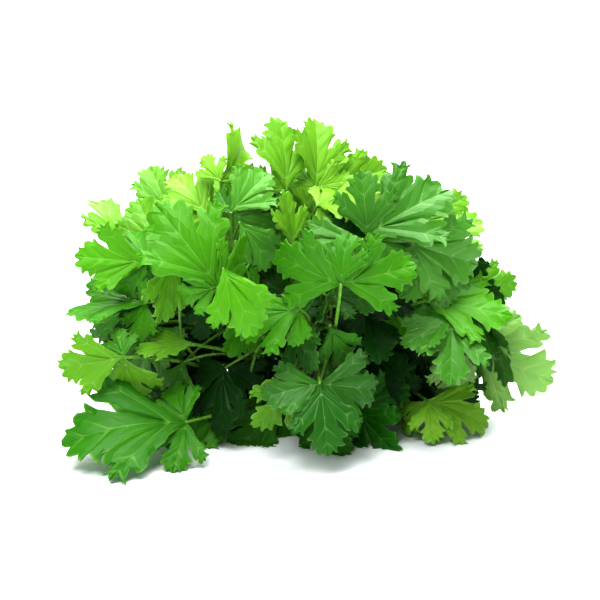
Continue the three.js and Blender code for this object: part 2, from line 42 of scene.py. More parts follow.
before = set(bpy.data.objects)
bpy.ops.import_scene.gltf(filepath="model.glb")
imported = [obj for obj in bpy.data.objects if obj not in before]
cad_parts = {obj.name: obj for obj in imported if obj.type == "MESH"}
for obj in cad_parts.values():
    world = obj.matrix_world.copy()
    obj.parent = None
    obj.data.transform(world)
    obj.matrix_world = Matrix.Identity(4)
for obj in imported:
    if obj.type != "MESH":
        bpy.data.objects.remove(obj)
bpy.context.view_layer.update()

MM = 0.001
BUNCH_MIDDLE = np.array([1.9, -18.7, 0.0])  # middle of the whole bunch, from the neck

# Stalks: straight from the cut end to the neck, then on a bent course that forks on its way to the leaves
CUT_END = 122.0
CUT_UNEVEN = 7.0
NECK = -8.0
MAIN_STEPS = 6
FORK_STEP = 4
BRANCH_STEPS = 3
CUT_RADIUS = 1.5
NECK_RADIUS = 1.25
TIP_RADIUS = 0.8
BRANCH_RADIUS = 0.75
BRANCH_TIP_RADIUS = 0.62
STALK_SIDES = 5
FLAT_DROP = 0.15  # the lowest stalks are pressed flat by this much
ROWS = [10, 9, 8, 7, 5, 3]  # stalks in each row, from the lowest
CUT_SPACING = 3.7
NECK_SPACING = 3.4
CUT_PITCH = 3.1
NECK_PITCH = 2.95
AHEAD_SHARE = 0.65  # how far a stalk arrives along its straight way, and for the rest along its leaf's
FIRST_HANDLE = 0.38  # shares of a course's reach that its two handles take
LAST_HANDLE = 0.36

# Leaflets
THICKNESS = 0.7
STALKLET = 0.11  # a leaflet's own short stalk, as a share of its length
HUB = 2.4
SIDE_DROOP = 14.0  # degrees, as the draws below are
WAY_DRAW = 6.0
PITCH_DRAW = 8.0
ROLL_DRAW = 12.0
FORM_LIMITS = [(0.25, 0.95), (0.02, 0.22), (-0.05, 0.35), (0.02, 0.07), (0, 6.28)]  # bend to phase
RIPPLES = 7.0
RIPPLE_FOOT = 0.05  # the ripple's angle is taken no nearer to the foot than this
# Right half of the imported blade's rim: degrees from the midrib, share of its length, and the least detail that
# keeps the point
RIM = [
    (0, 1.0, 1),
    (9, 0.93, 2),
    (18, 0.8, 1),
    (21, 0.5, 1),
    (28, 0.75, 1),
    (36, 0.82, 2),
    (43, 0.7, 1),
    (49, 0.46, 2),
]

# Front view: the camera looks at the head's middle from this far, this many degrees down
VIEW_DISTANCE = 900.0
VIEW_DOWN = math.radians(18)
HEAD_AHEAD = 95.0
HEAD_HEIGHT = 72.0
MIDDLE = np.array([0.0, -HEAD_AHEAD, HEAD_HEIGHT])
AHEAD = np.array([0.0, math.cos(VIEW_DOWN), -math.sin(VIEW_DOWN)])
RIGHT = np.array([1.0, 0.0, 0.0])
UPWARDS = np.array([0.0, math.sin(VIEW_DOWN), math.cos(VIEW_DOWN)])
IMAGE_SIZE = 600
PIXEL = 0.475  # millimetres that a pixel covers at the head's middle
HEAD_OFF_CENTRE = (11.0, 10.0)  # pixels that the head's middle lies right of and above the picture's centre


def leaf(across, up, depth, way, lean, turn, spread, *sizes):
    """A leaf as the front view gives it: its place, the way it points, how it leans and turns, and its leaflets."""
    place = dict(across=across, up=up, depth=depth)
    return dict(**place, way=way, lean=lean, turn=turn, spread=spread, sizes=sizes, detail=2)


def inner(*numbers):
    """A leaf inside the head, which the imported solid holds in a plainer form."""
    return {**leaf(*numbers), "detail": 1}


def stem(tone, *leaves):
    return {"tone": tone, "leaves": list(leaves)}


# Stems of the darkest tone carry painted shade: a darker green for leaves in the shaded inside and bottom of the
# head.
FRONT = [
    stem("fresh", leaf(-60, -63, -32, 181, 8, 4, 70, 54, 29, 22)),
    stem("light", leaf(-90, -32, -28, 190, 6, 0, 92, 28, 27, 15), leaf(-68, 15, -24, 265, 8, -45, 60, 28)),
    stem("fresh", leaf(-79, 13, -8, 170, 5, 10, 62, 30, 21, 20), leaf(-79, -6, -6, 188, 5, 35, 62, 34, 18)),
    stem("light", leaf(-72, 19, 4, 106, 0, 28, 60, 30, 18), leaf(-88, 17, 12, 98, 0, 58, 60, 32)),
    stem("fresh", leaf(-45, 2, -46, 123, 10, 0, 74, 43, 20, 25), leaf(-42, 10, -52, 290, 4, -12, 60, 31)),
    stem("light", leaf(-50, 36, -4, 118, 0, 10, 62, 26, 15, 17), leaf(-67, 36, 36, 115, 0, 0, 60, 27)),
    stem("mature", leaf(-38, 37, -14, 53, 4, -8, 72, 25, 14, 23), leaf(-34, 32, -18, 310, 4, -20, 60, 24)),
    stem("light", leaf(-12, 48, 6, 86, 0, 30, 60, 33, 18), leaf(-9, 21, -12, 96, 0, 50, 60, 24)),
    stem("light", leaf(2, 50, 14, 80, 0, -8, 64, 31, 17, 19), leaf(9, 48, 24, 25, 0, 0, 60, 28)),
    stem("light", leaf(3, 40, -4, 4, 0, -25, 60, 28, 18, 16)),
    stem("light", leaf(-43, 52, -2, 44, 2, 8, 76, 32, 15, 12)),
    stem("mature", leaf(27, 26, -24, 30, 6, -6, 56, 42, 28, 25), leaf(24, 24, -30, 197, 12, 22, 60, 30)),
    stem("light", leaf(73, 0, 30, 12, 0, 8, 60, 26), leaf(52, 31, 20, 35, 0, 0, 60, 25, 15, 15)),
    stem("mature", leaf(42, 24, -18, 343, 4, -5, 66, 40, 22, 20), leaf(42, 2, 4, 302, 4, 10, 62, 28, 18)),
    stem("fresh", leaf(54, -5, -8, 350, 4, -5, 62, 38, 20, 20)),
    stem("fresh", leaf(14, 3, -50, 90, 10, -20, 74, 22, 33, 32)),
    stem("fresh", leaf(9, -17, -30, 356, 6, -10, 62, 44, 22, 20), leaf(-6, -9, -40, 195, 6, 12, 62, 29, 16)),
    stem(
        "deep",
        leaf(3, -14, -16, 190, 4, -20, 62, 27),
        leaf(-41, -37, -10, 268, 4, 0, 66, 31, 22, 20),
        inner(-32, -24, 16, 278, 0, 10, 66, 34, 27, 25),
    ),
    stem("light", leaf(-7, -38, -32, 245, 8, -40, 62, 31, 13)),
    stem("light", leaf(-55, -26, -14, 183, 10, 30, 62, 26), leaf(-60, -34, -8, 242, 0, 60, 60, 24)),
    stem("mature", leaf(4, -45, -44, 275, 8, 0, 76, 30, 30, 25), inner(8, -34, -4, 265, 4, 0, 66, 32, 25, 25)),
    stem("light", leaf(56, -53, -6, 285, 38, 0, 70, 20, 31, 19)),
    stem("light", leaf(76, -25, 28, 333, 4, 0, 54, 43, 31, 14), leaf(69, -25, 8, 268, 8, 5, 62, 27, 18, 18)),
    stem(
        "deep",
        leaf(-50, -5, -4, 192, 4, 10, 62, 38, 18, 18),
        leaf(-62, -36, 6, 268, 0, 10, 60, 27, 18),
        inner(-54, -20, 24, 262, 0, -8, 66, 35, 28, 26),
    ),
    stem(
        "deep",
        leaf(54, -31, 6, 264, 4, 0, 64, 30, 20, 20),
        leaf(21, -26, -8, 185, 4, -30, 60, 26),
        inner(32, -22, 18, 272, 0, 8, 66, 35, 27, 27),
    ),
    stem(
        "deep",
        leaf(-46, -44, 4, 250, 0, 0, 66, 30, 20, 20),
        leaf(-19, -50, -2, 275, 0, 10, 62, 27, 18),
        inner(-28, -44, 20, 264, 0, 0, 66, 30, 25, 25),
    ),
    stem(
        "deep",
        leaf(36, -43, 6, 278, 0, -10, 66, 31, 20, 21),
        leaf(62, -38, 14, 300, 0, 0, 62, 27, 18),
        inner(50, -40, 26, 270, 0, 0, 66, 30, 25, 25),
    ),
    stem(
        "mature",
        leaf(-76, -17, 4, 246, 0, 20, 66, 31, 20, 18),
        leaf(-82, -36, 6, 262, 0, 0, 62, 27),
        inner(-84, -10, 20, 250, 0, 0, 66, 30, 24, 24),
    ),
]

# Stems that fill the inside and the back of the head: three leaves each, spread over a dome
FILL_STEMS = 14
FILL_SEED = 71
FILL_CENTRE = np.array([0.0, -78.0, 46.0])
FILL_RADII = np.array([80.0, 44.0, 68.0])
FILL_SIZE = (30, 38)
FILL_SIDE = 35.0
FILL_SIDE_IN = -14
FILL_SIDE_SIZE = 0.85
FILL_LEAFLET = 0.83  # a side leaflet's size, as a share of the middle one's
FILL_LOWEST = 16
FILL_SPREAD = (60, 76)
FILL_TILT = 0.3  # the leaves at the two sides stand a little higher
FILL_FACES = ((-0.4, 0.4), (-0.4, 0.4), (0, 0.6))  # how far a leaf's face may turn from straight out
FILL_DROOP = -0.2
FILL_ASIDE = 0.5  # how far a leaf may point aside
# Half the inner stems take the darkest tone, which is painted shade for the inside of the head.
FILL_TONES = ["mature", "deep", "fresh", "deep"]
GOLDEN_TURN = 137.5
FILL_HEIGHTS = (0.08, 0.86)  # the lowest stem's height on the dome, and how much higher the highest stands
FILL_FRONT = (-0.15, 0.35)  # leaves further to the front than this are drawn in to this share

# More leaves stand behind the front ones and close the head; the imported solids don't hold them. Rows of how high,
# the first and the last place across, how many, how far behind the middle, how far they lean to the viewer, and
# the tones of the stems that they may grow from.
BACKING_ROWS = [
    (34, -32, 20, 3, 33, 4, ("light", "fresh")),
    (16, -60, 54, 6, 33, 4, ("light", "fresh")),
    # The lower rows take the darkest tone, which is painted shade for the bottom of the head.
    (-8, -76, 62, 7, 33, 4, ("mature", "fresh", "deep")),
    (-30, -72, 66, 7, 33, 4, ("deep", "mature")),
    (-50, -60, 36, 5, 24, 10, ("deep", "mature")),
    (-57, -52, 22, 5, -4, 34, ("deep", "mature", "fresh")),
]
BACKING_SIZE = (28, 33)
BACKING_LEAFLET = 0.86
BACKING_SPREAD = 68
BACKING_SHIFT, BACKING_DEPTH = 4, 5  # how far a leaf may stand from its place in the row
BACKING_WAY, BACKING_TURN = 15, 25
BACKING_FROM = -34.0  # they point away from this height on the head's middle line

# The ways a leaflet may stand, in the order in which they are tried until one has room
TRY_SIZES = [1, 0.86, 0.72, 0.58]
TRY_PITCHES = [0, 14, -14, 28, -28, 42, -42]
TRY_ROLLS = [0, 20, -20, 40, -40]

# Bending the stalks apart
BEND_ROUNDS = 220
STALK_GAP = 0.7
LOWEST = 1.35
BEND_EVEN = 0.032  # how far a point goes along with its neighbours' shift in a round
PARALLEL = 1e-9
SAME_PLACE = 0.02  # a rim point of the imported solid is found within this
CHANCE_POINTS = 3  # a leaflet shares more rim points than this with its solid

# Seeded draws, one kind for each use
DRAW_FACTOR, DRAW_LIMIT = 16807, 2147483647
SEED_FACTOR, SEED_STEP = 131, 7
FILL_DRAWS, CUT_DRAWS, BLADE_DRAWS, LOOK_DRAWS, BACKING_DRAWS, RIM_DRAWS = 1, 2, 3, 5, 6, 9


# ---------------------------------------------------------------- the bunch's layout, as in the part's source


def draw_for(*numbers):
    """A seeded draw for one piece, the same as the part's source makes."""
    seed = FILL_SEED
    for number in numbers:
        seed = (seed * SEED_FACTOR + number + SEED_STEP) % DRAW_LIMIT

    def draw(low, high):
        nonlocal seed
        seed = seed * DRAW_FACTOR % DRAW_LIMIT
        return low + (high - low) * seed / DRAW_LIMIT

    draw(0, 1)
    return draw


def unit(v):
    return v / math.sqrt(v @ v)


def cross(a, b):
    return np.array([a[1] * b[2] - a[2] * b[1], a[2] * b[0] - a[0] * b[2], a[0] * b[1] - a[1] * b[0]])


def turned(v, axis, degrees):
    angle = math.radians(degrees)
    c, s = math.cos(angle), math.sin(angle)
    return v * c + cross(axis, v) * s + axis * ((axis @ v) * (1 - c))


def front_leaf(wanted):
    eye = MIDDLE - AHEAD * VIEW_DISTANCE
    ray = MIDDLE + RIGHT * wanted["across"] + UPWARDS * wanted["up"] - eye
    at = eye + ray * ((wanted["depth"] - HEAD_AHEAD - eye[1]) / ray[1])
    angle, lean = math.radians(wanted["way"]), math.radians(wanted["lean"])
    way = (RIGHT * math.cos(angle) + UPWARDS * math.sin(angle)) * math.cos(lean) - AHEAD * math.sin(lean)
    face = unit(way * (AHEAD @ way) - AHEAD)
    face = turned(face, way, wanted["turn"])
    return dict(at=at, way=way, face=face, sizes=wanted["sizes"], spread=wanted["spread"], detail=wanted["detail"])


def fill_stem(number):
    draw = draw_for(FILL_DRAWS, number)
    turn = math.radians(number * GOLDEN_TURN)
    high = FILL_HEIGHTS[0] + FILL_HEIGHTS[1] * (number + 0.5) / FILL_STEMS
    level = math.sqrt(1 - high * high)
    outward = np.array([level * math.cos(turn), level * math.sin(turn), high])
    at = FILL_RADII * outward * (1 if outward[1] > FILL_FRONT[0] else FILL_FRONT[1]) + FILL_CENTRE
    leaves = []
    for side in (0, 1, -1):
        across = unit(np.array([-outward[1], outward[0], FILL_TILT * side]))
        place = at + across * (side * FILL_SIDE) + outward * (FILL_SIDE_IN if side else 0)
        place[2] = max(place[2], FILL_LOWEST)
        face = unit(outward + np.array([draw(*pair) for pair in FILL_FACES]))
        wish = np.array([outward[0], outward[1], FILL_DROOP]) + across * (side + draw(-FILL_ASIDE, FILL_ASIDE))
        way = unit(wish - face * (wish @ face))
        size = draw(*FILL_SIZE) * (FILL_SIDE_SIZE if side else 1)
        sizes = [size, *(0 if side * hand < 0 else size * FILL_LEAFLET for hand in (1, -1))]
        leaves.append(dict(at=place, way=way, face=face, sizes=sizes, spread=draw(*FILL_SPREAD), detail=1))
    return stem(FILL_TONES[number % len(FILL_TONES)], *leaves)


def backing_leaves():
    """The leaves behind the front ones, each with the tones of the stems that it may grow from."""
    for row, (up, first, last, count, depth, lean, tones) in enumerate(BACKING_ROWS):
        for i in range(count):
            draw = draw_for(BACKING_DRAWS, row, i)
            across = first + (last - first) * i / (count - 1) + draw(-BACKING_SHIFT, BACKING_SHIFT)
            way = math.degrees(math.atan2(up - BACKING_FROM, across)) + draw(-BACKING_WAY, BACKING_WAY)
            size = draw(*BACKING_SIZE)
            sizes = (size, size * BACKING_LEAFLET, size * BACKING_LEAFLET)
            high = up + draw(-BACKING_SHIFT, BACKING_SHIFT)
            back = depth + draw(-BACKING_DEPTH, BACKING_DEPTH)
            turn = draw(-BACKING_TURN, BACKING_TURN)
            yield leaf(across, high, back, way, lean, turn, BACKING_SPREAD, *sizes), tones


def hang_backing(stems):
    """Each backing leaf grows from the fork of the nearest stem of its tones that has none yet."""
    free = list(stems)
    for number, (wanted, tones) in enumerate(backing_leaves()):
        that = front_leaf(wanted)
        near = [one for one in free if one["tone"] in tones]
        host = min(near, key=lambda one: np.sum((one["lines"][0][0][1 + FORK_STEP] - that["at"]) ** 2))
        free = [one for one in free if one is not host]
        main = host["lines"][0][0]
        fork = main[1 + FORK_STEP]
        points = course_to(fork, unit(fork - main[FORK_STEP]), that, BRANCH_STEPS)
        that["back"] = unit(points[-2] - that["at"])
        for blade in blades_of(that, len(stems) + number, 0):
            host["leaflets"].append({**next(iter(posed(blade))), "leaf": len(host["lines"])})
        host["lines"].append((points, radii_along(len(points), BRANCH_RADIUS, BRANCH_TIP_RADIUS)))


def place_stems(stems):
    rising = sorted(stems, key=lambda one: one["leaves"][0]["at"][2])
    for row, count in enumerate(ROWS):
        line = sorted(rising[:count], key=lambda one: one["leaves"][0]["at"][0])
        rising = rising[count:]
        for i, one in enumerate(line):
            one["across"], one["row"] = i - (len(line) - 1) / 2, row


def row_height(row, radius, pitch):
    return radius * math.cos(math.pi / STALK_SIDES) - FLAT_DROP + row * pitch


def course_to(start, way, goal, steps):
    """A leaf stalk's course from one point to a leaf."""
    gap = goal["at"] - start
    reach = math.sqrt(gap @ gap)
    arrive = unit(gap / reach * AHEAD_SHARE + goal["way"] * (1 - AHEAD_SHARE))
    second = start + way * (reach * FIRST_HANDLE)
    third = goal["at"] - arrive * (reach * LAST_HANDLE)
    course = []
    for i in range(steps + 1):
        t = i / steps
        u = 1 - t
        course.append(start * u**3 + second * (3 * u * u * t) + third * (3 * u * t * t) + goal["at"] * t**3)
    return [start, *course[1:-1], goal["at"]]


def radii_along(count, first, last):
    return [first + (last - first) * i / (count - 1) for i in range(count)]


def stalk_lines(one, number):
    """A stem's stalks before they are bent apart: the main one first, then those that leave its fork."""
    cut_back = draw_for(CUT_DRAWS, number)(0, CUT_UNEVEN)
    across, row = one["across"], one["row"]
    cut = np.array([across * CUT_SPACING, CUT_END - cut_back, row_height(row, CUT_RADIUS, CUT_PITCH)])
    neck = np.array([across * NECK_SPACING, NECK, row_height(row, NECK_RADIUS, NECK_PITCH)])
    main = [cut, *course_to(neck, np.array([0.0, -1.0, 0.0]), one["leaves"][0], MAIN_STEPS)]
    fork = main[1 + FORK_STEP]
    start = unit(fork - main[FORK_STEP])
    lines = [(main, [CUT_RADIUS, *radii_along(len(main) - 1, NECK_RADIUS, TIP_RADIUS)])]
    for side_leaf in one["leaves"][1:]:
        points = course_to(fork, start, side_leaf, BRANCH_STEPS)
        lines.append((points, radii_along(len(points), BRANCH_RADIUS, BRANCH_TIP_RADIUS)))
    return lines


def bend_apart(all_lines):
    """Bends the stalks apart where they would touch, and gives every line its bent points."""
    places, free, near, pieces, chains = [], [], [], [], []
    for stem_number, lines in enumerate(all_lines):
        fork = None
        for line, (points, radii) in enumerate(lines):
            first = len(places)
            chain = [fork] if line else []
            chain += range(first, first + len(points) - len(chain))
            for i in range(1 if line else 0, len(points)):
                places.append(points[i])
                free.append(i < len(points) - 1 and (line > 0 or i > 1))
            if not line:
                fork = chain[1 + FORK_STEP]
            for i in range(1, len(points)):
                near += [(chain[i], chain[i - 1]), (chain[i - 1], chain[i])]
                pieces.append((stem_number, chain[i - 1], chain[i], max(radii[i - 1], radii[i])))
            chains.append(chain)
    point = np.array(places)
    shift = np.zeros_like(point)
    free = np.array(free)[:, None]
    joint, beside = np.array(near).T
    share = 1 / np.bincount(joint)[:, None]
    owner, start, end = (np.array([piece[k] for piece in pieces]) for k in range(3))
    thick = np.array([piece[3] for piece in pieces])
    one, other = np.triu_indices(len(pieces), 1)
    apart_stems = owner[one] != owner[other]
    one, other = one[apart_stems], other[apart_stems]
    need = thick[one] + thick[other] + STALK_GAP
    for _ in range(BEND_ROUNDS):
        a, b = point[start], point[end]
        middle, half = (a + b) / 2, np.sqrt(((b - a) ** 2).sum(1)) / 2
        reach = np.sqrt(((middle[one] - middle[other]) ** 2).sum(1)) - half[one] - half[other]
        close = np.flatnonzero(reach <= need)
        i, k, wanted = one[close], other[close], need[close]
        u, v, w = b[i] - a[i], b[k] - a[k], a[i] - a[k]
        uu, uv, vv = (u * u).sum(1), (u * v).sum(1), (v * v).sum(1)
        uw, vw = (u * w).sum(1), (v * w).sum(1)
        bottom = uu * vv - uv * uv
        s = np.where(bottom > PARALLEL, np.clip((uv * vw - vv * uw) / np.maximum(bottom, PARALLEL), 0, 1), 0)
        t = np.clip((uv * s + vw) / vv, 0, 1)
        s = np.clip((uv * t - uw) / uu, 0, 1)
        way = (a[i] + u * s[:, None]) - (a[k] + v * t[:, None])
        apart = np.sqrt((way**2).sum(1))
        hit = apart < wanted
        i, k, s, t = i[hit], k[hit], s[hit][:, None], t[hit][:, None]
        way = way[hit] * (0.5 * (wanted - apart)[hit] / apart[hit])[:, None]
        push = np.zeros_like(point)
        np.add.at(push, start[i], way * (1 - s))
        np.add.at(push, end[i], way * s)
        np.add.at(push, start[k], way * (t - 1))
        np.add.at(push, end[k], way * -t)
        even = np.zeros_like(point)
        np.add.at(even, joint, shift[beside])
        after = shift + (even * share - shift) * BEND_EVEN + push
        after[:, 2] = np.maximum(after[:, 2], shift[:, 2] + LOWEST - point[:, 2])
        after = np.where(free, after, shift)
        point = point + after - shift
        shift = after
    bent = iter(chains)
    return [[([point[i] for i in next(bent)], radii) for _, radii in lines] for lines in all_lines]


def blades_of(one, stem_number, leaf_number):
    """A leaf's leaflets as they stand before they are bent clear: middle, left and right."""
    for i, size in enumerate(one["sizes"]):
        if not size:
            continue
        draw = draw_for(BLADE_DRAWS, stem_number, leaf_number, i)
        sign = (0, 1, -1)[i]
        at = one["at"] + one["back"] * (HUB / 2 if sign else 0)
        way = turned(one["way"], one["face"], sign * one["spread"] + draw(-WAY_DRAW, WAY_DRAW))
        side = unit(cross(way, one["face"]))
        pitch = draw(-PITCH_DRAW, PITCH_DRAW) + (SIDE_DROOP if sign else 0)
        roll = draw(-ROLL_DRAW, ROLL_DRAW)
        form = [draw(*pair) for pair in FORM_LIMITS]
        yield dict(at=at, way=way, face=one["face"], side=side, size=size, pitch=pitch, roll=roll, form=form)


def posed(blade):
    """The ways a leaflet may stand, in the order in which the part's source tries them."""
    frames = []
    for pitch in TRY_PITCHES:
        down = -(blade["pitch"] + pitch)
        way = turned(blade["way"], blade["side"], down)
        pitched = turned(blade["face"], blade["side"], down)
        for roll in TRY_ROLLS:
            face = turned(pitched, way, blade["roll"] + roll)
            frames.append((way, face, unit(cross(way, face))))
    for scale in TRY_SIZES:
        size = blade["size"] * scale
        for way, face, side in frames:
            yield dict(
                way=way, face=face, side=side, size=size, at=blade["at"] + way * (STALKLET * size), form=blade["form"]
            )


def blade_points(blade, plan, level):
    """Where plan points come to lie on a bent leaflet, at that height above its middle."""
    bend, fold, cup, ripple, phase = blade["form"]
    s, t = plan[:, :1], plan[:, 1:2]
    turn = bend * t
    lift = fold * np.abs(s) - cup * s * s
    lift = lift + ripple * (s * s + t * t) * np.sin(RIPPLES * np.arctan2(s, np.maximum(t, RIPPLE_FOOT)) + phase)
    normal = blade["face"] * np.cos(turn) + blade["way"] * np.sin(turn)
    out = blade["way"] * np.sin(turn) / bend + blade["face"] * (np.cos(turn) - 1) / bend
    out = out + blade["side"] * s + normal * lift
    return blade["at"] + out * blade["size"] + normal * level


def rim_plan(detail):
    half = [(r * math.sin(math.radians(a)), r * math.cos(math.radians(a))) for a, r, kept in RIM if kept <= detail]
    return np.array([*half, *[(-s, t) for s, t in half[1:]]])


RIM_PLANS = {detail: rim_plan(detail) for detail in (1, 2)}


def found_blade(blade, detail, tree):
    """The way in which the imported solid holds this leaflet, or None where it had no room."""
    plan = RIM_PLANS[detail]

    def shared(one, points):
        both = [p for half in (THICKNESS / 2, -THICKNESS / 2) for p in blade_points(one, points, half)]
        return sum(tree.find(p)[2] < SAME_PLACE for p in both)

    best, most = None, CHANCE_POINTS
    for one in posed(blade):
        if shared(one, plan[:3]):
            count = shared(one, plan)
            if count > most:
                best, most = one, count
    return best


def node_name(number):
    return f"leafy_stem_{number + 1:02d}"


def node_tree_of(name):
    """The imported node's vertices, in millimetres from the neck."""
    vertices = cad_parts[name].data.vertices
    tree = KDTree(len(vertices))
    for i, vertex in enumerate(vertices):
        tree.insert(np.array(vertex.co) / MM + BUNCH_MIDDLE, i)
    tree.balance()
    return tree


def bunch_layout():
    """Every stem with its bent stalks and its leaflets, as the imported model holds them."""
    stems = [stem(one["tone"], *[front_leaf(wanted) for wanted in one["leaves"]]) for one in FRONT]
    stems += [fill_stem(number) for number in range(FILL_STEMS)]
    place_stems(stems)
    all_lines = bend_apart([stalk_lines(one, number) for number, one in enumerate(stems)])
    for number, (one, lines) in enumerate(zip(stems, all_lines)):
        one["lines"] = lines
        one["leaflets"] = []
        tree = node_tree_of(node_name(number))
        for i, that in enumerate(one["leaves"]):
            that["back"] = unit(lines[i][0][-2] - that["at"])
            for blade in blades_of(that, number, i):
                found = found_blade(blade, that["detail"], tree)
                if found:
                    one["leaflets"].append({**found, "leaf": i})
    hang_backing(stems)
    return stems


# ---------------------------------------------------------------- one leaflet, flat

# Right half of a leaflet's rim, as shares of its length: (s, t, kind), where kind is "tooth" for a tooth's tip,
# "notch" between two teeth, or "edge" on a plain stretch. The middle lobe runs from the cut between the lobes
# up to the leaflet's tip, and the side lobe's two edges run to its own tip.
VEINS_MEET = (0.0, 0.03)
CUT = (0.15, 0.445)
LOBE_TIP = (0.52, 0.635)
MIDDLE_LOBE = [
    (0.2, 0.57, "edge"),
    (0.305, 0.705, "tooth"),
    (0.235, 0.742, "notch"),
    (0.262, 0.858, "tooth"),
    (0.162, 0.852, "notch"),
    (0.142, 0.955, "tooth"),
    (0.068, 0.92, "notch"),
    (0.0, 1.0, "tooth"),
]
SIDE_LOBE_ABOVE = [
    (0.225, 0.53, "edge"),
    (0.332, 0.672, "tooth"),
    (0.368, 0.6, "notch"),
    (0.452, 0.7, "tooth"),
    (0.46, 0.61, "notch"),
    (0.52, 0.635, "tooth"),
]
SIDE_LOBE_BELOW = [
    (0.052, -0.055, "edge"),
    (0.104, 0.004, "edge"),
    (0.158, 0.066, "edge"),
    (0.216, 0.13, "edge"),
    (0.28, 0.194, "edge"),
    (0.348, 0.26, "edge"),
    (0.49, 0.368, "tooth"),
    (0.446, 0.436, "notch"),
    (0.575, 0.492, "tooth"),
    (0.492, 0.548, "notch"),
    (0.52, 0.635, "tooth"),
]
FOOT_CORNER = (0.02, -STALKLET)
LOBE_ROWS = [0.1, 0.22, 0.36, 0.47, 0.55, 0.63, 0.69, 0.74, 0.79, 0.84, 0.88, 0.92, 0.96, 1.0]
COLUMNS = [0.0, 0.1, 0.38, 0.7, 1.0]  # from a vein out to the rim
HEART = np.array([0.12, 0.3])  # teeth bulge away from here
TOOTH_BULGE = 0.15
BULGE_SHARE = 0.62  # how far towards a tooth's tip its side bulges most
BULGE_BETWEEN = 0.6
BETWEEN = {"tooth": 0.0, "notch": 1.0, "edge": 0.7}  # how far each kind of point lies from a side vein
INNER_BETWEEN = [0.3, 0.5, 0.7, 0.9]
VEIN_RISE = 1.15  # side veins leave the midrib at this slope
LEAST_RISE = 0.002
UNEVEN_CUT = ((-0.012, 0.012), (-0.05, 0.03))
UNEVEN_MIDDLE, UNEVEN_ABOVE, UNEVEN_BELOW = 0.02, 0.018, 0.014
SWELL_AT_VEIN = 0.35  # how much a blade swells beside a side vein, where it swells by 1 between two
SWELL_REACH = 1.1  # the swelling ends a little before the rim
VEIN_AT_TIP = 0.35  # a main vein's strength at its tip, where it is 1 at its foot
SIDE_VEIN, SIDE_VEIN_FADE = 0.75, 0.35
RIDGE_AT_TIP, RIDGE_GAIN, SIDE_RIDGE = 0.25, 1.75, 0.35  # in blade thicknesses
TEMPLATES = 4
SPLAY = 7.0  # how far a side lobe may be turned out or in, in degrees
SPLAY_FROM = 0.25  # points this far from the midrib turn in full


def rim_rows(start, rim, draw, uneven):
    """The rim's points with rounded teeth between them: rows of (point, how far from a side vein)."""
    points, between = [], []
    last, last_kind = np.array(start), "edge"
    for k, (s, t, kind) in enumerate(rim):
        at = np.array([s, t])
        if k < len(rim) - 1:
            at = at + np.array([draw(-uneven, uneven), draw(-uneven, uneven)])
        if "tooth" in (kind, last_kind):
            gap = at - last
            outward = np.array([-gap[1], gap[0]])
            if outward @ (last + gap / 2 - HEART) < 0:
                outward = -outward
            share = BULGE_SHARE if kind == "tooth" else 1 - BULGE_SHARE
            points.append(last + gap * share + outward * TOOTH_BULGE)
            between.append(BULGE_BETWEEN)
        points.append(at)
        between.append(BETWEEN[kind])
        last, last_kind = at, kind
    return points, between


class Sheet:
    """Flat points of a leaflet with what each one carries, welded where patches meet."""

    def __init__(self):
        self.known = {}
        self.points = []  # s, t, height, share of the way to the rim, vein, ridge
        self.faces = []

    def add(self, place, values):
        key = (round(place[0], 5), round(place[1], 5))
        if key not in self.known:
            self.known[key] = len(self.points)
            self.points.append([*place, *values])
        return self.known[key]

    def patch(self, spine, rim, between, taper, mirror, turned_over=False):
        """A grid from a vein's points to the rim's, which is turned over where it lies left of the vein.

        The blade swells between its veins. The vein that it starts from thins towards its tip, and side veins
        run out to the teeth; both are told to the finish as "vein" and stand out below as ridges."""
        rows = []
        for k, (a, b) in enumerate(zip(spine, rim, strict=True)):
            row = []
            for x in COLUMNS:
                place = np.array(a) * (1 - x) + np.array(b) * x
                place = np.array([place[0] * mirror, place[1]])
                swell = SWELL_AT_VEIN + (1 - SWELL_AT_VEIN) * between[k]
                height = swell * math.sin(math.pi * min(1.0, x * SWELL_REACH))
                vein = ridge = 0.0
                if x == 0:
                    vein = VEIN_AT_TIP + (1 - VEIN_AT_TIP) * (1 - taper[k])
                    ridge = RIDGE_AT_TIP + RIDGE_GAIN * (1 - taper[k])
                elif between[k] == 0:
                    vein = SIDE_VEIN - SIDE_VEIN_FADE * x
                    ridge = SIDE_RIDGE * (1 - x)
                row.append(self.add(place, (height, x, vein, ridge)))
            rows.append(row)
        for k in range(len(rows) - 1):
            for j in range(len(COLUMNS) - 1):
                face = [rows[k][j], rows[k][j + 1], rows[k + 1][j + 1], rows[k + 1][j]]
                face = [i for n, i in enumerate(face) if i != face[n - 1]]
                if len(set(face)) > 2:
                    self.faces.append(face[::-1] if (mirror < 0) != turned_over else face)


def splayed(point, degrees):
    """The point turned about the place where the veins meet, fully in a side lobe and not at all on the midrib."""
    arm = np.asarray(point, float) - np.array(VEINS_MEET)
    turn = math.radians(degrees) * min(1.0, max(0.0, arm[0]) / SPLAY_FROM)
    c, s = math.cos(turn), math.sin(turn)
    return np.array(VEINS_MEET) + np.array([arm[0] * c + arm[1] * s, arm[1] * c - arm[0] * s])


def to_cut(cut):
    """Points from where the veins meet to the cut between two lobes."""
    meet = np.array(VEINS_MEET)
    return [meet, meet + (cut - meet) / 3, meet + (cut - meet) * 2 / 3, cut]


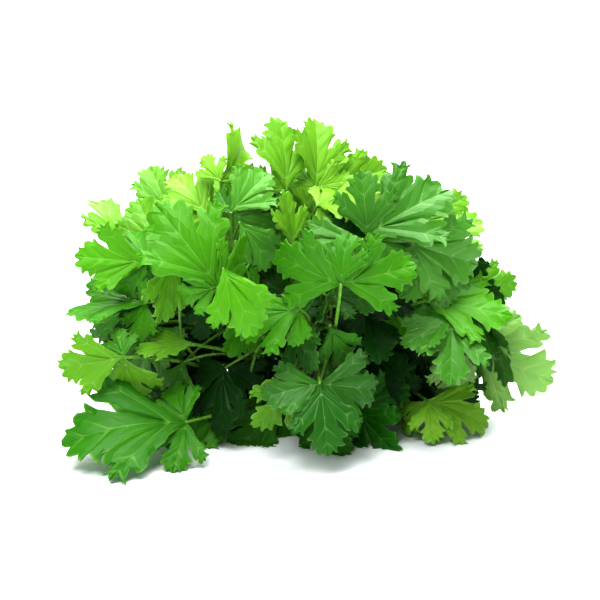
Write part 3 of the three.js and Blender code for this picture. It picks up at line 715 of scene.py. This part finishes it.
def leaflet_sheet(number):
    """A flat leaflet: on each side a patch beside the midrib, and one above and one below the side lobe's vein."""
    draw = draw_for(RIM_DRAWS, number)
    sheet = Sheet()
    meet, cut = np.array(VEINS_MEET), np.array(CUT)
    even, _ = rim_rows(CUT, MIDDLE_LOBE, draw_for(RIM_DRAWS, 0), 0.0)
    heights, top = [], meet[1]
    for s, t in [*to_cut(cut), *even]:
        top = max(top + LEAST_RISE, t - VEIN_RISE * s)
        heights.append(top)
    heights[0], heights[-1] = meet[1], 1.0
    midrib = [np.array([0.0, t]) for t in heights]
    taper = [(t - meet[1]) / (1 - meet[1]) for t in heights]
    for mirror in (1, -1):
        swing = draw(-SPLAY, SPLAY)
        cut_here = splayed(cut + np.array([draw(*pair) for pair in UNEVEN_CUT]), swing)
        inside = to_cut(cut_here)
        rim, between = rim_rows(cut_here, MIDDLE_LOBE, draw, UNEVEN_MIDDLE)
        sheet.patch(midrib, inside + rim, INNER_BETWEEN + between, taper, mirror)
        tip = splayed(LOBE_TIP, swing)
        vein = [meet, *[meet + (tip - meet) * u for u in LOBE_ROWS]]
        lobe_taper = [0.0, *LOBE_ROWS]
        above, below = (
            [(*splayed((u, v), swing), kind) for u, v, kind in rim] for rim in (SIDE_LOBE_ABOVE, SIDE_LOBE_BELOW)
        )
        rim, between = rim_rows(cut_here, above, draw, UNEVEN_ABOVE)
        sheet.patch(vein, inside + rim, INNER_BETWEEN + between, lobe_taper, mirror, turned_over=True)
        rim, between = rim_rows(FOOT_CORNER, below, draw, UNEVEN_BELOW)
        foot = [np.array([0.0, -STALKLET]), np.array([0.0, (meet[1] - STALKLET) / 2])]
        corner = [np.array(FOOT_CORNER)]
        sheet.patch(foot + vein, corner + rim, INNER_BETWEEN[:1] + between, [0.0, 0.0, *lobe_taper], mirror)
    return sheet


# ---------------------------------------------------------------- nodes


def add(tree, kind, values=(), **settings):
    """Adds a node with its settings; values go to its inputs by place or by name, and sockets are linked."""
    node = tree.nodes.new(kind)
    for name, value in settings.items():
        setattr(node, name, value)
    for key, value in values.items() if isinstance(values, dict) else enumerate(values):
        if isinstance(value, bpy.types.Node):
            value = next(output for output in value.outputs if output.enabled)
        if isinstance(value, bpy.types.NodeSocket):
            tree.links.new(value, node.inputs[key])
        elif value is not None:
            node.inputs[key].default_value = value
    return node


def linear(colour):
    """An sRGB hex value as Blender's linear colour."""
    parts = [int(colour[i : i + 2], 16) / 255 for i in (1, 3, 5)]
    return tuple(c / 12.92 if c <= 0.04045 else ((c + 0.055) / 1.055) ** 2.4 for c in parts)


FRILLS = 17.0
FRILL_POWER = 3.0  # how steeply the frill grows towards the rim
SURFACE = 0.00002  # nothing reaches lower than this
SKINS_APART = 0.0003  # of a blade that lies on the surface


def leafy_stem_tree():
    """Leaflets repeated over their points and bent by each one's form, and stalks swept along their courses."""
    tree = bpy.data.node_groups.new("Leafy stem", "GeometryNodeTree")
    sockets = {}
    for name, kind in [
        ("Leaflet points", "NodeSocketGeometry"),
        *((f"Leaflet {number}", "NodeSocketObject") for number in range(1, TEMPLATES + 1)),
        ("Stalk courses", "NodeSocketObject"),
        ("Thickness", "NodeSocketFloat"),
        ("Quilting", "NodeSocketFloat"),
        ("Frill", "NodeSocketFloat"),
        ("Course step", "NodeSocketFloat"),
        ("Ribs", "NodeSocketInt"),
        ("Rib depth", "NodeSocketFloat"),
        ("Leaf finish", "NodeSocketMaterial"),
        ("Stalk finish", "NodeSocketMaterial"),
    ]:
        sockets[name] = tree.interface.new_socket(name, in_out="INPUT", socket_type=kind).identifier
    tree.interface.new_socket("Leafy stem", in_out="OUTPUT", socket_type="NodeSocketGeometry")
    given = add(tree, "NodeGroupInput").outputs
    math_node, vector = "ShaderNodeMath", "ShaderNodeVectorMath"

    # Leaflets: flat ones on the points, made real, then each vertex taken to its place on the bent blade
    join = add(tree, "GeometryNodeJoinGeometry")
    for number in range(1, TEMPLATES + 1):
        flat = add(tree, "GeometryNodeObjectInfo", {"Object": given[f"Leaflet {number}"], "As Instance": True})
        tree.links.new(flat.outputs["Geometry"], join.inputs[0])
    which = add(tree, "GeometryNodeInputNamedAttribute", {"Name": "template"}, data_type="INT")
    spread = add(
        tree,
        "GeometryNodeInstanceOnPoints",
        {"Points": given["Leaflet points"], "Instance": join, "Pick Instance": True, "Instance Index": which},
    )
    real = add(tree, "GeometryNodeRealizeInstances", [spread])
    value = {
        name: add(tree, "GeometryNodeInputNamedAttribute", {"Name": name}, data_type="FLOAT")
        for name in ("bend", "fold", "cup", "ripple", "phase", "size", "shell", "edge")
    }
    held = {
        name: add(tree, "GeometryNodeInputNamedAttribute", {"Name": name}, data_type="FLOAT_VECTOR")
        for name in ("flat", "way", "face", "foot")
    }
    plan = add(tree, "ShaderNodeSeparateXYZ", [held["flat"]])
    s, t, height = plan.outputs
    turn = add(tree, math_node, [value["bend"], t], operation="MULTIPLY")
    cosine = add(tree, math_node, [turn], operation="COSINE")
    sine = add(tree, math_node, [turn], operation="SINE")
    aside = add(tree, math_node, [s], operation="ABSOLUTE")
    s_squared = add(tree, math_node, [s, s], operation="MULTIPLY")
    squares = add(tree, math_node, [t, t, s_squared], operation="MULTIPLY_ADD")
    above = add(tree, math_node, [t, RIPPLE_FOOT], operation="MAXIMUM")
    angle = add(tree, math_node, [s, above], operation="ARCTAN2")
    around = add(tree, math_node, [angle, RIPPLES, value["phase"]], operation="MULTIPLY_ADD")
    wave = add(tree, math_node, [around], operation="SINE")
    rippled = add(tree, math_node, [squares, value["ripple"]], operation="MULTIPLY")
    waved = add(tree, math_node, [rippled, wave], operation="MULTIPLY")
    folded = add(tree, math_node, [aside, value["fold"], waved], operation="MULTIPLY_ADD")
    quick = add(tree, math_node, [value["phase"], 2.0], operation="MULTIPLY")
    teeth_way = add(tree, math_node, [angle, FRILLS, quick], operation="MULTIPLY_ADD")
    teeth_wave = add(tree, math_node, [teeth_way], operation="SINE")
    at_rim = add(tree, math_node, [value["edge"], FRILL_POWER], operation="POWER")
    frilled = add(tree, math_node, [teeth_wave, at_rim], operation="MULTIPLY")
    frill = add(tree, math_node, [frilled, given["Frill"], folded], operation="MULTIPLY_ADD")
    cupping = add(tree, math_node, [s_squared, value["cup"]], operation="MULTIPLY")
    lifted = add(tree, math_node, [frill, cupping], operation="SUBTRACT")
    quilted = add(tree, math_node, [height, given["Quilting"], lifted], operation="MULTIPLY_ADD")
    side = add(tree, vector, [held["way"], held["face"]], operation="CROSS_PRODUCT")
    upright = add(tree, vector, {0: held["face"], "Scale": cosine}, operation="SCALE")
    tilted = add(tree, vector, {0: held["way"], "Scale": sine}, operation="SCALE")
    normal = add(tree, vector, [upright, tilted], operation="ADD")
    ahead = add(tree, math_node, [sine, value["bend"]], operation="DIVIDE")
    less = add(tree, math_node, [cosine, 1.0], operation="SUBTRACT")
    down = add(tree, math_node, [less, value["bend"]], operation="DIVIDE")
    forward = add(tree, vector, {0: held["way"], "Scale": ahead}, operation="SCALE")
    dropped = add(tree, vector, {0: held["face"], "Scale": down}, operation="SCALE")
    across = add(tree, vector, {0: side, "Scale": s}, operation="SCALE")
    raised = add(tree, vector, {0: normal, "Scale": quilted}, operation="SCALE")
    curve = add(tree, vector, [forward, dropped], operation="ADD")
    wide = add(tree, vector, [across, raised], operation="ADD")
    blade = add(tree, vector, [curve, wide], operation="ADD")
    sized = add(tree, vector, {0: blade, "Scale": value["size"]}, operation="SCALE")
    level = add(tree, math_node, [value["shell"], given["Thickness"]], operation="MULTIPLY")
    skin = add(tree, vector, {0: normal, "Scale": level}, operation="SCALE")
    placed = add(tree, vector, [sized, skin], operation="ADD")
    home = add(tree, vector, [placed, held["foot"]], operation="ADD")
    # A blade that reaches the surface lies flat on it, its two skins still apart
    lowest = add(tree, math_node, [value["shell"], given["Thickness"], SKINS_APART], operation="MULTIPLY_ADD")
    on_surface = add(tree, math_node, [lowest, SURFACE], operation="MAXIMUM")
    at = add(tree, "ShaderNodeSeparateXYZ", [home]).outputs
    resting = add(tree, math_node, [at[2], on_surface], operation="MAXIMUM")
    final = add(tree, "ShaderNodeCombineXYZ", [at[0], at[1], resting])
    bent = add(tree, "GeometryNodeSetPosition", {"Geometry": real, "Position": final})
    leafy = add(tree, "GeometryNodeSetMaterial", {"Geometry": bent, "Material": given["Leaf finish"]})

    # Stalks: a ribbed round swept along each course, with its distance from the cut end kept for the finish
    courses = add(tree, "GeometryNodeObjectInfo", {"Object": given["Stalk courses"]})
    steps = add(
        tree,
        "GeometryNodeResampleCurve",
        {"Curve": courses.outputs["Geometry"], "Length": given["Course step"]},
        mode="LENGTH",
    )
    length = add(tree, "GeometryNodeSplineParameter").outputs["Length"]
    told = add(
        tree,
        "GeometryNodeStoreNamedAttribute",
        {"Geometry": steps, "Name": "along", "Value": length},
        data_type="FLOAT",
        domain="POINT",
    )
    corners = add(tree, math_node, [given["Ribs"], 2.0], operation="MULTIPLY")
    ring = add(tree, "GeometryNodeCurvePrimitiveCircle", {"Resolution": corners, "Radius": 1.0})
    odd = add(tree, math_node, [add(tree, "GeometryNodeInputIndex"), 2.0], operation="MODULO")
    inset = add(tree, math_node, [odd, given["Rib depth"]], operation="MULTIPLY")
    kept = add(tree, math_node, [1.0, inset], operation="SUBTRACT")
    spot = add(tree, "GeometryNodeInputPosition")
    pulled = add(tree, vector, {0: spot, "Scale": kept}, operation="SCALE")
    profile = add(tree, "GeometryNodeSetPosition", {"Geometry": ring.outputs["Curve"], "Position": pulled})
    radius = add(tree, "GeometryNodeInputRadius")
    swept = add(
        tree,
        "GeometryNodeCurveToMesh",
        {"Curve": told, "Profile Curve": profile, "Scale": radius, "Fill Caps": True},
    )
    # The lowest stalks are pressed flat where they lie on the surface
    at = add(tree, "ShaderNodeSeparateXYZ", [add(tree, "GeometryNodeInputPosition")]).outputs
    pressed = add(tree, math_node, [at[2], SURFACE], operation="MAXIMUM")
    flattened = add(tree, "ShaderNodeCombineXYZ", [at[0], at[1], pressed])
    laid = add(tree, "GeometryNodeSetPosition", {"Geometry": swept, "Position": flattened})
    round_stalk = add(tree, "GeometryNodeSetShadeSmooth", {"Geometry": laid})
    stalky = add(tree, "GeometryNodeSetMaterial", {"Geometry": round_stalk, "Material": given["Stalk finish"]})

    both = add(tree, "GeometryNodeJoinGeometry", [stalky])
    tree.links.new(leafy.outputs[0], both.inputs[0])
    last = add(tree, "GeometryNodeRealizeInstances", [both])
    add(tree, "NodeGroupOutput", [last])
    return tree, sockets


# ---------------------------------------------------------------- finishes

SHARE, FIRST, SECOND = 0, 6, 7  # a Mix node's inputs when it mixes colours
UNDERSIDE = 0.55  # how far a blade's underside goes over to its own colour
VEINS_SEEN, VEINS_GLOWING = 0.7, 0.35


def leaf_finish(name, upper, through, roughness, wax, light_through):
    """A living leaf: waxy skin with a satin gloss over green flesh that light passes through.

    The wax gives broad soft highlights; the flesh glows yellow-green where light comes from behind. The upper
    side is darker and glossier than the underside, and the veins are paler than both."""
    material = bpy.data.materials.new(name)
    material.use_nodes = True
    tree = material.node_tree
    tree.nodes.clear()
    place = add(tree, "ShaderNodeTexCoord").outputs["Object"]
    vein = add(tree, "ShaderNodeAttribute", attribute_name="vein").outputs["Fac"]
    under = add(tree, "ShaderNodeAttribute", attribute_name="under").outputs["Fac"]
    # The shade attribute holds each leaflet's random tone together with painted light and shade: darker low in the
    # head, paler high up.
    shade = add(tree, "ShaderNodeAttribute", attribute_name="shade").outputs["Fac"]
    edge = add(tree, "ShaderNodeAttribute", attribute_name="edge").outputs["Fac"]
    # Patches some 12 mm across are a little darker or yellower, and cells of 0.9 mm break up the gloss
    patches = add(tree, "ShaderNodeTexNoise", {"Vector": place, "Scale": 85.0, "Detail": 3.0, "Roughness": 0.55})
    cells = add(tree, "ShaderNodeTexVoronoi", {"Vector": place, "Scale": 1100.0}, feature="DISTANCE_TO_EDGE")
    fine = add(tree, "ShaderNodeMapRange", {"Value": cells, "From Max": 0.16, "To Min": 1.0, "To Max": 0.0})
    veined = add(tree, "ShaderNodeMapRange", {"Value": vein, "From Min": 0.42, "From Max": 1.0})
    margin = add(tree, "ShaderNodeMapRange", {"Value": edge, "From Min": 0.93, "From Max": 1.0, "To Max": 0.5})
    line = add(tree, "ShaderNodeMath", [veined, margin], operation="MAXIMUM")
    mottled = add(tree, "ShaderNodeMath", [patches, -0.5], operation="ADD")
    varied = add(tree, "ShaderNodeMath", [mottled, 0.7, shade], operation="MULTIPLY_ADD")
    paler = add(tree, "ShaderNodeMapRange", {"Value": varied, "From Min": -1.0, "From Max": 1.0})

    low = add(tree, "ShaderNodeMath", [under, UNDERSIDE], operation="MULTIPLY")

    def coloured(colours, vein_share):
        dark, light, pale, veins = ((*linear(colour), 1.0) for colour in colours)
        share = add(tree, "ShaderNodeMath", [line, vein_share], operation="MULTIPLY")
        body = add(tree, "ShaderNodeMix", {SHARE: paler, FIRST: dark, SECOND: light}, data_type="RGBA")
        sides = add(tree, "ShaderNodeMix", {SHARE: low, FIRST: body, SECOND: pale}, data_type="RGBA")
        return add(tree, "ShaderNodeMix", {SHARE: share, FIRST: sides, SECOND: veins}, data_type="RGBA")

    seen = coloured(upper, VEINS_SEEN)
    glow = coloured(through, VEINS_GLOWING)
    bump_height = add(tree, "ShaderNodeMath", [fine, 0.25, patches], operation="MULTIPLY_ADD")
    relief = add(tree, "ShaderNodeBump", {"Height": bump_height, "Strength": 0.35, "Distance": 0.0004})
    dull = add(tree, "ShaderNodeMapRange", {"Value": under, "To Min": roughness, "To Max": roughness + 0.2})
    rough = add(tree, "ShaderNodeMath", [fine, 0.06, dull], operation="MULTIPLY_ADD")
    skin = add(
        tree,
        "ShaderNodeBsdfPrincipled",
        {"Base Color": seen, "Roughness": rough, "IOR": 1.45, "Specular IOR Level": wax, "Normal": relief},
    )
    flesh = add(tree, "ShaderNodeBsdfTranslucent", {"Color": glow, "Normal": relief})
    both = add(tree, "ShaderNodeMixShader", [light_through, skin, flesh])
    add(tree, "ShaderNodeOutputMaterial", [both])
    return material


def stalk_finish():
    """A fresh stalk: smooth wet-looking skin, pale green, lighter and greyer where the knife cut it."""
    material = bpy.data.materials.new("Stalk skin, ribbed and waxy")
    material.use_nodes = True
    tree = material.node_tree
    tree.nodes.clear()
    place = add(tree, "ShaderNodeTexCoord").outputs["Object"]
    along = add(tree, "ShaderNodeAttribute", attribute_name="along").outputs["Fac"]
    # Long streaks some 1 mm wide and 25 mm long run with the stalk
    stretch = add(tree, "ShaderNodeMapping", {"Vector": place, "Scale": (1.0, 0.05, 1.0)})
    streaks = add(tree, "ShaderNodeTexNoise", {"Vector": stretch, "Scale": 900.0, "Detail": 2.0})
    ramp = add(tree, "ShaderNodeValToRGB", [streaks])
    for element, position, colour in zip(ramp.color_ramp.elements, (0.3, 0.75), ("#4A8020", "#7FAE44")):
        element.position, element.color = position, (*linear(colour), 1.0)
    fresh_cut = add(tree, "ShaderNodeMapRange", {"Value": along, "From Max": 0.0006, "To Min": 1.0, "To Max": 0.0})
    pith = (*linear("#A9C07C"), 1.0)
    body = add(tree, "ShaderNodeMix", {SHARE: fresh_cut, FIRST: ramp, SECOND: pith}, data_type="RGBA")
    relief = add(tree, "ShaderNodeBump", {"Height": streaks, "Strength": 0.3, "Distance": 0.0003})
    skin = add(
        tree,
        "ShaderNodeBsdfPrincipled",
        {"Base Color": body, "Roughness": 0.38, "IOR": 1.45, "Normal": relief},
    )
    add(tree, "ShaderNodeOutputMaterial", [skin])
    return material


# Upper side dark, upper side light, underside, veins; the same for light coming through; then how rough the skin
# is, how much its wax shines, and the share of light that passes through
TONES = {
    "pale": (
        ("#64983A", "#96BE6A", "#98BC70", "#C4DCA0"),
        ("#78AE30", "#9CCA64", "#90C048", "#BCDC88"),
        0.42,
        0.45,
        0.36,
    ),
    "light": (
        ("#3A8600", "#90C834", "#94C04C", "#C6E294"),
        ("#62AE04", "#94CE38", "#90C244", "#BCE07A"),
        0.38,
        0.46,
        0.42,
    ),
    "fresh": (
        ("#1C6E00", "#64AE10", "#6CA838", "#A2CE68"),
        ("#38A400", "#74C81C", "#74BC30", "#9AD85C"),
        0.38,
        0.38,
        0.34,
    ),
    "mature": (
        ("#145E00", "#5EA230", "#689C48", "#A0C87E"),
        ("#2E8E04", "#60B428", "#68AA38", "#8EC258"),
        0.36,
        0.44,
        0.28,
    ),
    # The darkest tone is painted shade: a darker copy of the leaf green for leaves inside and low in the head, where
    # shade falls.
    "deep": (
        ("#023000", "#145202", "#3A7026", "#488432"),
        ("#106200", "#2A8404", "#40881E", "#589A32"),
        0.42,
        0.26,
        0.2,
    ),
}
# Painted light and shade: leaves high in the head are painted paler, and those near the surface darker, as light
# falls from above
MIDDLE_HEIGHT = 65.0  # millimetres; a leaf at this height has its tone's middle shade
RISE = 85.0  # millimetres in which the shade rises by 1
SHADE_DRAW = 0.6
PALE_STEM = 23  # the leaf that lies out furthest on the right is nearly white
PAINTED_LIGHT_STEM = 22  # the leaf beside it lies out in the light, and that light is painted into its colour as a much paler shade than the rest
OWN_SHADE = {PALE_STEM: 0.3, PAINTED_LIGHT_STEM: 1.8}


# ---------------------------------------------------------------- pieces


def own_object(name, data):
    made = bpy.data.objects.new(name, data)
    bpy.context.scene.collection.objects.link(made)
    return made


def flat_leaflet(number):
    """One flat leaflet as a closed shell, whose vertices carry their plan place and their share of each look."""
    sheet = leaflet_sheet(number)
    points = np.array(sheet.points)
    count = len(points)
    pairs = dict.fromkeys((a, face[(i + 1) % len(face)]) for face in sheet.faces for i, a in enumerate(face))
    rim = [(a, b) for a, b in pairs if (b, a) not in pairs]
    faces = [list(face) for face in sheet.faces] + [[i + count for i in face[::-1]] for face in sheet.faces]
    faces += [[b, a, a + count, b + count] for a, b in rim]
    mesh = bpy.data.meshes.new(f"Flat leaflet {number}")
    both = np.vstack([points, points])
    mesh.from_pydata(np.column_stack([both[:, :2], np.zeros(2 * count)]).tolist(), [], faces)
    attributes = {
        "shell": np.concatenate([np.full(count, 0.5), -0.5 - points[:, 5]]),
        "vein": both[:, 4],
        "edge": both[:, 3],
        "under": np.concatenate([np.zeros(count), np.ones(count)]),
    }
    for name, numbers in attributes.items():
        mesh.attributes.new(name, "FLOAT", "POINT").data.foreach_set("value", numbers.astype(np.float32))
    flat = mesh.attributes.new("flat", "FLOAT_VECTOR", "POINT")
    flat.data.foreach_set("vector", both[:, :3].astype(np.float32).ravel())
    mesh.update()
    sharp = mesh.attributes.new("sharp_edge", "BOOLEAN", "EDGE")
    around = {frozenset((a + skin, b + skin)) for a, b in rim for skin in (0, count)}
    sharp.data.foreach_set("value", [frozenset(edge.vertices) in around for edge in mesh.edges])
    return own_object(mesh.name, mesh)


def stalk_courses(name, lines):
    """The stalks of one stem as Bezier courses through their points, with short handles beside a bend."""
    curve = bpy.data.curves.new(name, "CURVE")
    curve.dimensions = "3D"
    curve.resolution_u = 24
    for points, radii in lines:
        places = (np.array(points) - BUNCH_MIDDLE) * MM
        gaps = np.diff(places, axis=0)
        lengths = np.sqrt((gaps**2).sum(1))
        ways = gaps / lengths[:, None]
        spline = curve.splines.new("BEZIER")
        spline.bezier_points.add(len(places) - 1)
        for i, point in enumerate(spline.bezier_points):
            before, after = ways[max(i - 1, 0)], ways[min(i, len(ways) - 1)]
            tangent = unit(before + after)
            handle = min(lengths[max(i - 1, 0)], lengths[min(i, len(ways) - 1)]) / 3
            point.co = places[i]
            point.handle_left = places[i] - tangent * handle
            point.handle_right = places[i] + tangent * handle
            point.radius = radii[i] * MM
    return own_object(name, curve)


def leaflet_points(name, number, leaflets):
    """One vertex for each leaflet, carrying its form, its place and the way it points and faces."""
    mesh = bpy.data.meshes.new(name)
    feet = [(one["at"] - BUNCH_MIDDLE) * MM for one in leaflets]
    mesh.from_pydata([tuple(foot) for foot in feet], [], [])
    looks = [draw_for(LOOK_DRAWS, number, i) for i in range(len(leaflets))]
    floats = dict(zip(("bend", "fold", "cup", "ripple", "phase"), zip(*[one["form"] for one in leaflets])))
    floats["size"] = [one["size"] * MM for one in leaflets]
    # Painted light and shade by height, with a random draw of each leaflet's own tone added on top.
    rises = [OWN_SHADE.get(number + 1, (one["at"][2] - MIDDLE_HEIGHT) / RISE) for one in leaflets]
    floats["shade"] = [rise + draw(-SHADE_DRAW, SHADE_DRAW) for rise, draw in zip(rises, looks)]
    for key, numbers in floats.items():
        mesh.attributes.new(key, "FLOAT", "POINT").data.foreach_set("value", np.array(numbers, np.float32))
    vectors = {**{key: [one[key] for one in leaflets] for key in ("way", "face")}, "foot": feet}
    for key, numbers in vectors.items():
        held = mesh.attributes.new(key, "FLOAT_VECTOR", "POINT")
        held.data.foreach_set("vector", np.array(numbers, np.float32).ravel())
    chosen = mesh.attributes.new("template", "INT", "POINT")
    chosen.data.foreach_set("value", [int(draw(0, TEMPLATES)) % TEMPLATES for draw in looks])
    return own_object(name, mesh)


KEPT_ATTRIBUTES = {"vein", "under", "edge", "shade", "along"}
KEPT_ATTRIBUTES |= {"sharp_edge", "sharp_face", "position", "material_index"}


def finished(source, name):
    """The evaluated object as a plain mesh piece, without what only its making needed."""
    graph = bpy.context.evaluated_depsgraph_get()
    made = source.evaluated_get(graph)
    mesh = bpy.data.meshes.new_from_object(made, preserve_all_data_layers=True, depsgraph=graph)
    mesh.name = name
    for attribute in list(mesh.attributes):
        kept = attribute.name in KEPT_ATTRIBUTES or attribute.name.startswith(".") or attribute.is_required
        if not kept:
            mesh.attributes.remove(attribute)
    return own_object(name, mesh)


class StemsOperator(bpy.types.Operator):
    """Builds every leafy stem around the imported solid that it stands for"""

    bl_idname = "parsley.leafy_stems"
    bl_label = "Leafy stems"

    def execute(self, context):
        settings = context.scene.parsley_bunch
        stems = bunch_layout()
        tree, sockets = leafy_stem_tree()
        leaflets = [flat_leaflet(number) for number in range(1, TEMPLATES + 1)]
        finishes = {tone: leaf_finish(f"Leaf blade, {tone} and waxy", *looks) for tone, looks in TONES.items()}
        stalk = stalk_finish()
        for number, one in enumerate(stems):
            name = f"stem_{number + 1:02d}"
            courses = stalk_courses(name + "_courses", one["lines"])
            source = leaflet_points(name + "_leaflets", number, one["leaflets"])
            modifier = source.modifiers.new("Leafy stem", "NODES")
            modifier.node_group = tree
            inputs = {
                **{f"Leaflet {i + 1}": flat for i, flat in enumerate(leaflets)},
                "Stalk courses": courses,
                "Thickness": settings.blade_thickness,
                "Quilting": settings.quilting,
                "Frill": settings.frill,
                "Course step": settings.course_step,
                "Ribs": settings.ribs,
                "Rib depth": settings.rib_depth,
                "Leaf finish": finishes["pale" if number + 1 == PALE_STEM else one["tone"]],
                "Stalk finish": stalk,
            }
            for key, value in inputs.items():
                modifier[sockets[key]] = value
            piece = finished(source, name)
            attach(piece, "root")
            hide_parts(node_name(number))
            bpy.data.objects.remove(source)
            bpy.data.objects.remove(courses)
        for spare in leaflets:
            bpy.data.objects.remove(spare)
        return {"FINISHED"}


FLOOR_HALF = 3.0
LIGHTS_AIM = (0.0, -0.05, 0.05)


class StageOperator(bpy.types.Operator):
    """Lays the pale floor, hangs the soft lights and sets the camera at the front"""

    bl_idname = "parsley.stage"
    bl_label = "Studio"

    def execute(self, context):
        scene = context.scene
        settings = scene.parsley_bunch
        scene.view_settings.view_transform = "Standard"
        scene.view_settings.gamma = settings.punch
        mesh = bpy.data.meshes.new("Floor")
        corners = [(x * FLOOR_HALF, y * FLOOR_HALF, 0) for x, y in ((-1, -1), (1, -1), (1, 1), (-1, 1))]
        mesh.from_pydata(corners, [], [(0, 1, 2, 3)])
        floor = own_object("Floor", mesh)
        paint = bpy.data.materials.new("Studio board, matt white")
        paint.use_nodes = True
        shader = paint.node_tree.nodes["Principled BSDF"]
        shader.inputs["Base Color"].default_value = (*settings.floor_colour, 1.0)
        shader.inputs["Roughness"].default_value = 0.8
        mesh.materials.append(paint)
        world = bpy.data.worlds.new("White studio")
        world.use_nodes = True
        sky = world.node_tree.nodes["Background"]
        sky.inputs["Color"].default_value = (*linear("#F6F8FF"), 1.0)
        sky.inputs["Strength"].default_value = settings.dome_strength
        scene.world = world
        for name, place, size, power, colour in (
            ("Front softbox", (-0.35, -0.7, 1.15), 0.5, settings.front_power, "#FFFFFF"),
            ("Top softbox", (0.1, 0.1, 1.1), 0.9, settings.top_power, "#FFFFFF"),
            ("Back softbox", (0.15, 1.0, 0.75), 0.8, settings.back_power, "#FFFDF4"),
        ):
            lamp = bpy.data.lights.new(name, "AREA")
            lamp.size = size
            lamp.energy = power
            lamp.color = linear(colour)
            made = own_object(name, lamp)
            aim = Vector(LIGHTS_AIM) - Vector(place)
            made.location = place
            made.rotation_euler = aim.to_track_quat("-Z", "Y").to_euler()
        camera = bpy.data.cameras.new("Camera")
        camera.sensor_width = 36.0
        camera.sensor_fit = "HORIZONTAL"
        camera.lens = camera.sensor_width * VIEW_DISTANCE / (PIXEL * IMAGE_SIZE)
        camera.clip_start, camera.clip_end = 0.05, 20.0
        right, up = (pixels * PIXEL for pixels in HEAD_OFF_CENTRE)
        seen_from = MIDDLE - AHEAD * VIEW_DISTANCE - RIGHT * right - UPWARDS * up
        eye = own_object("Camera", camera)
        turn = Matrix((RIGHT, UPWARDS, -AHEAD)).transposed().to_4x4()
        eye.matrix_world = Matrix.Translation(Vector((seen_from - BUNCH_MIDDLE) * MM)) @ turn
        scene.camera = eye
        return {"FINISHED"}


# ---------------------------------------------------------------- the add-on


class BunchSettings(bpy.types.PropertyGroup):
    """What a user of the bunch and its studio would change"""

    blade_thickness: bpy.props.FloatProperty(
        name="Blade thickness",
        description="Thickness of a leaflet's blade",
        default=0.00035,
        unit="LENGTH",
        precision=5,
    )
    quilting: bpy.props.FloatProperty(
        name="Quilting",
        description="How far the blade swells between its veins, as a share of its length",
        default=0.012,
        precision=3,
    )
    frill: bpy.props.FloatProperty(
        name="Frill",
        description="How far the teeth of the rim rise and fall, as a share of the length",
        default=0.022,
        precision=3,
    )
    course_step: bpy.props.FloatProperty(
        name="Course step", description="Length of the pieces a stalk is made of", default=0.0025, unit="LENGTH"
    )
    ribs: bpy.props.IntProperty(name="Ribs", description="Fine ribs round a stalk", default=7)
    rib_depth: bpy.props.FloatProperty(
        name="Rib depth", description="Depth of the grooves between ribs, as a share of the radius", default=0.08
    )
    floor_colour: bpy.props.FloatVectorProperty(
        name="Floor colour", description="Matt white of the floor", subtype="COLOR", default=linear("#F4F5F8")
    )
    punch: bpy.props.FloatProperty(
        name="Punch",
        description="Gamma of the view: under 1 deepens the shadows, as the photograph has them",
        default=0.8,
    )
    dome_strength: bpy.props.FloatProperty(
        name="Dome", description="Strength of the white surroundings", default=0.55
    )
    front_power: bpy.props.FloatProperty(name="Front softbox", description="Its power in watts", default=15.0)
    top_power: bpy.props.FloatProperty(name="Top softbox", description="Its power in watts", default=31.0)
    back_power: bpy.props.FloatProperty(name="Back softbox", description="Its power in watts", default=20.0)


class BunchPanel(bpy.types.Panel):
    bl_idname = "VIEW3D_PT_parsley"
    bl_label = "Parsley bunch"
    bl_space_type = "VIEW_3D"
    bl_region_type = "UI"
    bl_category = "Parsley"

    def draw(self, context):
        settings = context.scene.parsley_bunch
        for name in BunchSettings.__annotations__:
            self.layout.prop(settings, name)
        for one in (StemsOperator, StageOperator):
            self.layout.operator(one.bl_idname)


CLASSES = (BunchSettings, StemsOperator, StageOperator, BunchPanel)


def register():
    for one in CLASSES:
        bpy.utils.register_class(one)
    bpy.types.Scene.parsley_bunch = bpy.props.PointerProperty(type=BunchSettings)


def unregister():
    del bpy.types.Scene.parsley_bunch
    for one in reversed(CLASSES):
        bpy.utils.unregister_class(one)


def main():
    register()
    bpy.ops.parsley.leafy_stems()
    bpy.ops.parsley.stage()
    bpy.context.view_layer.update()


if __name__ == "__main__":
    main()
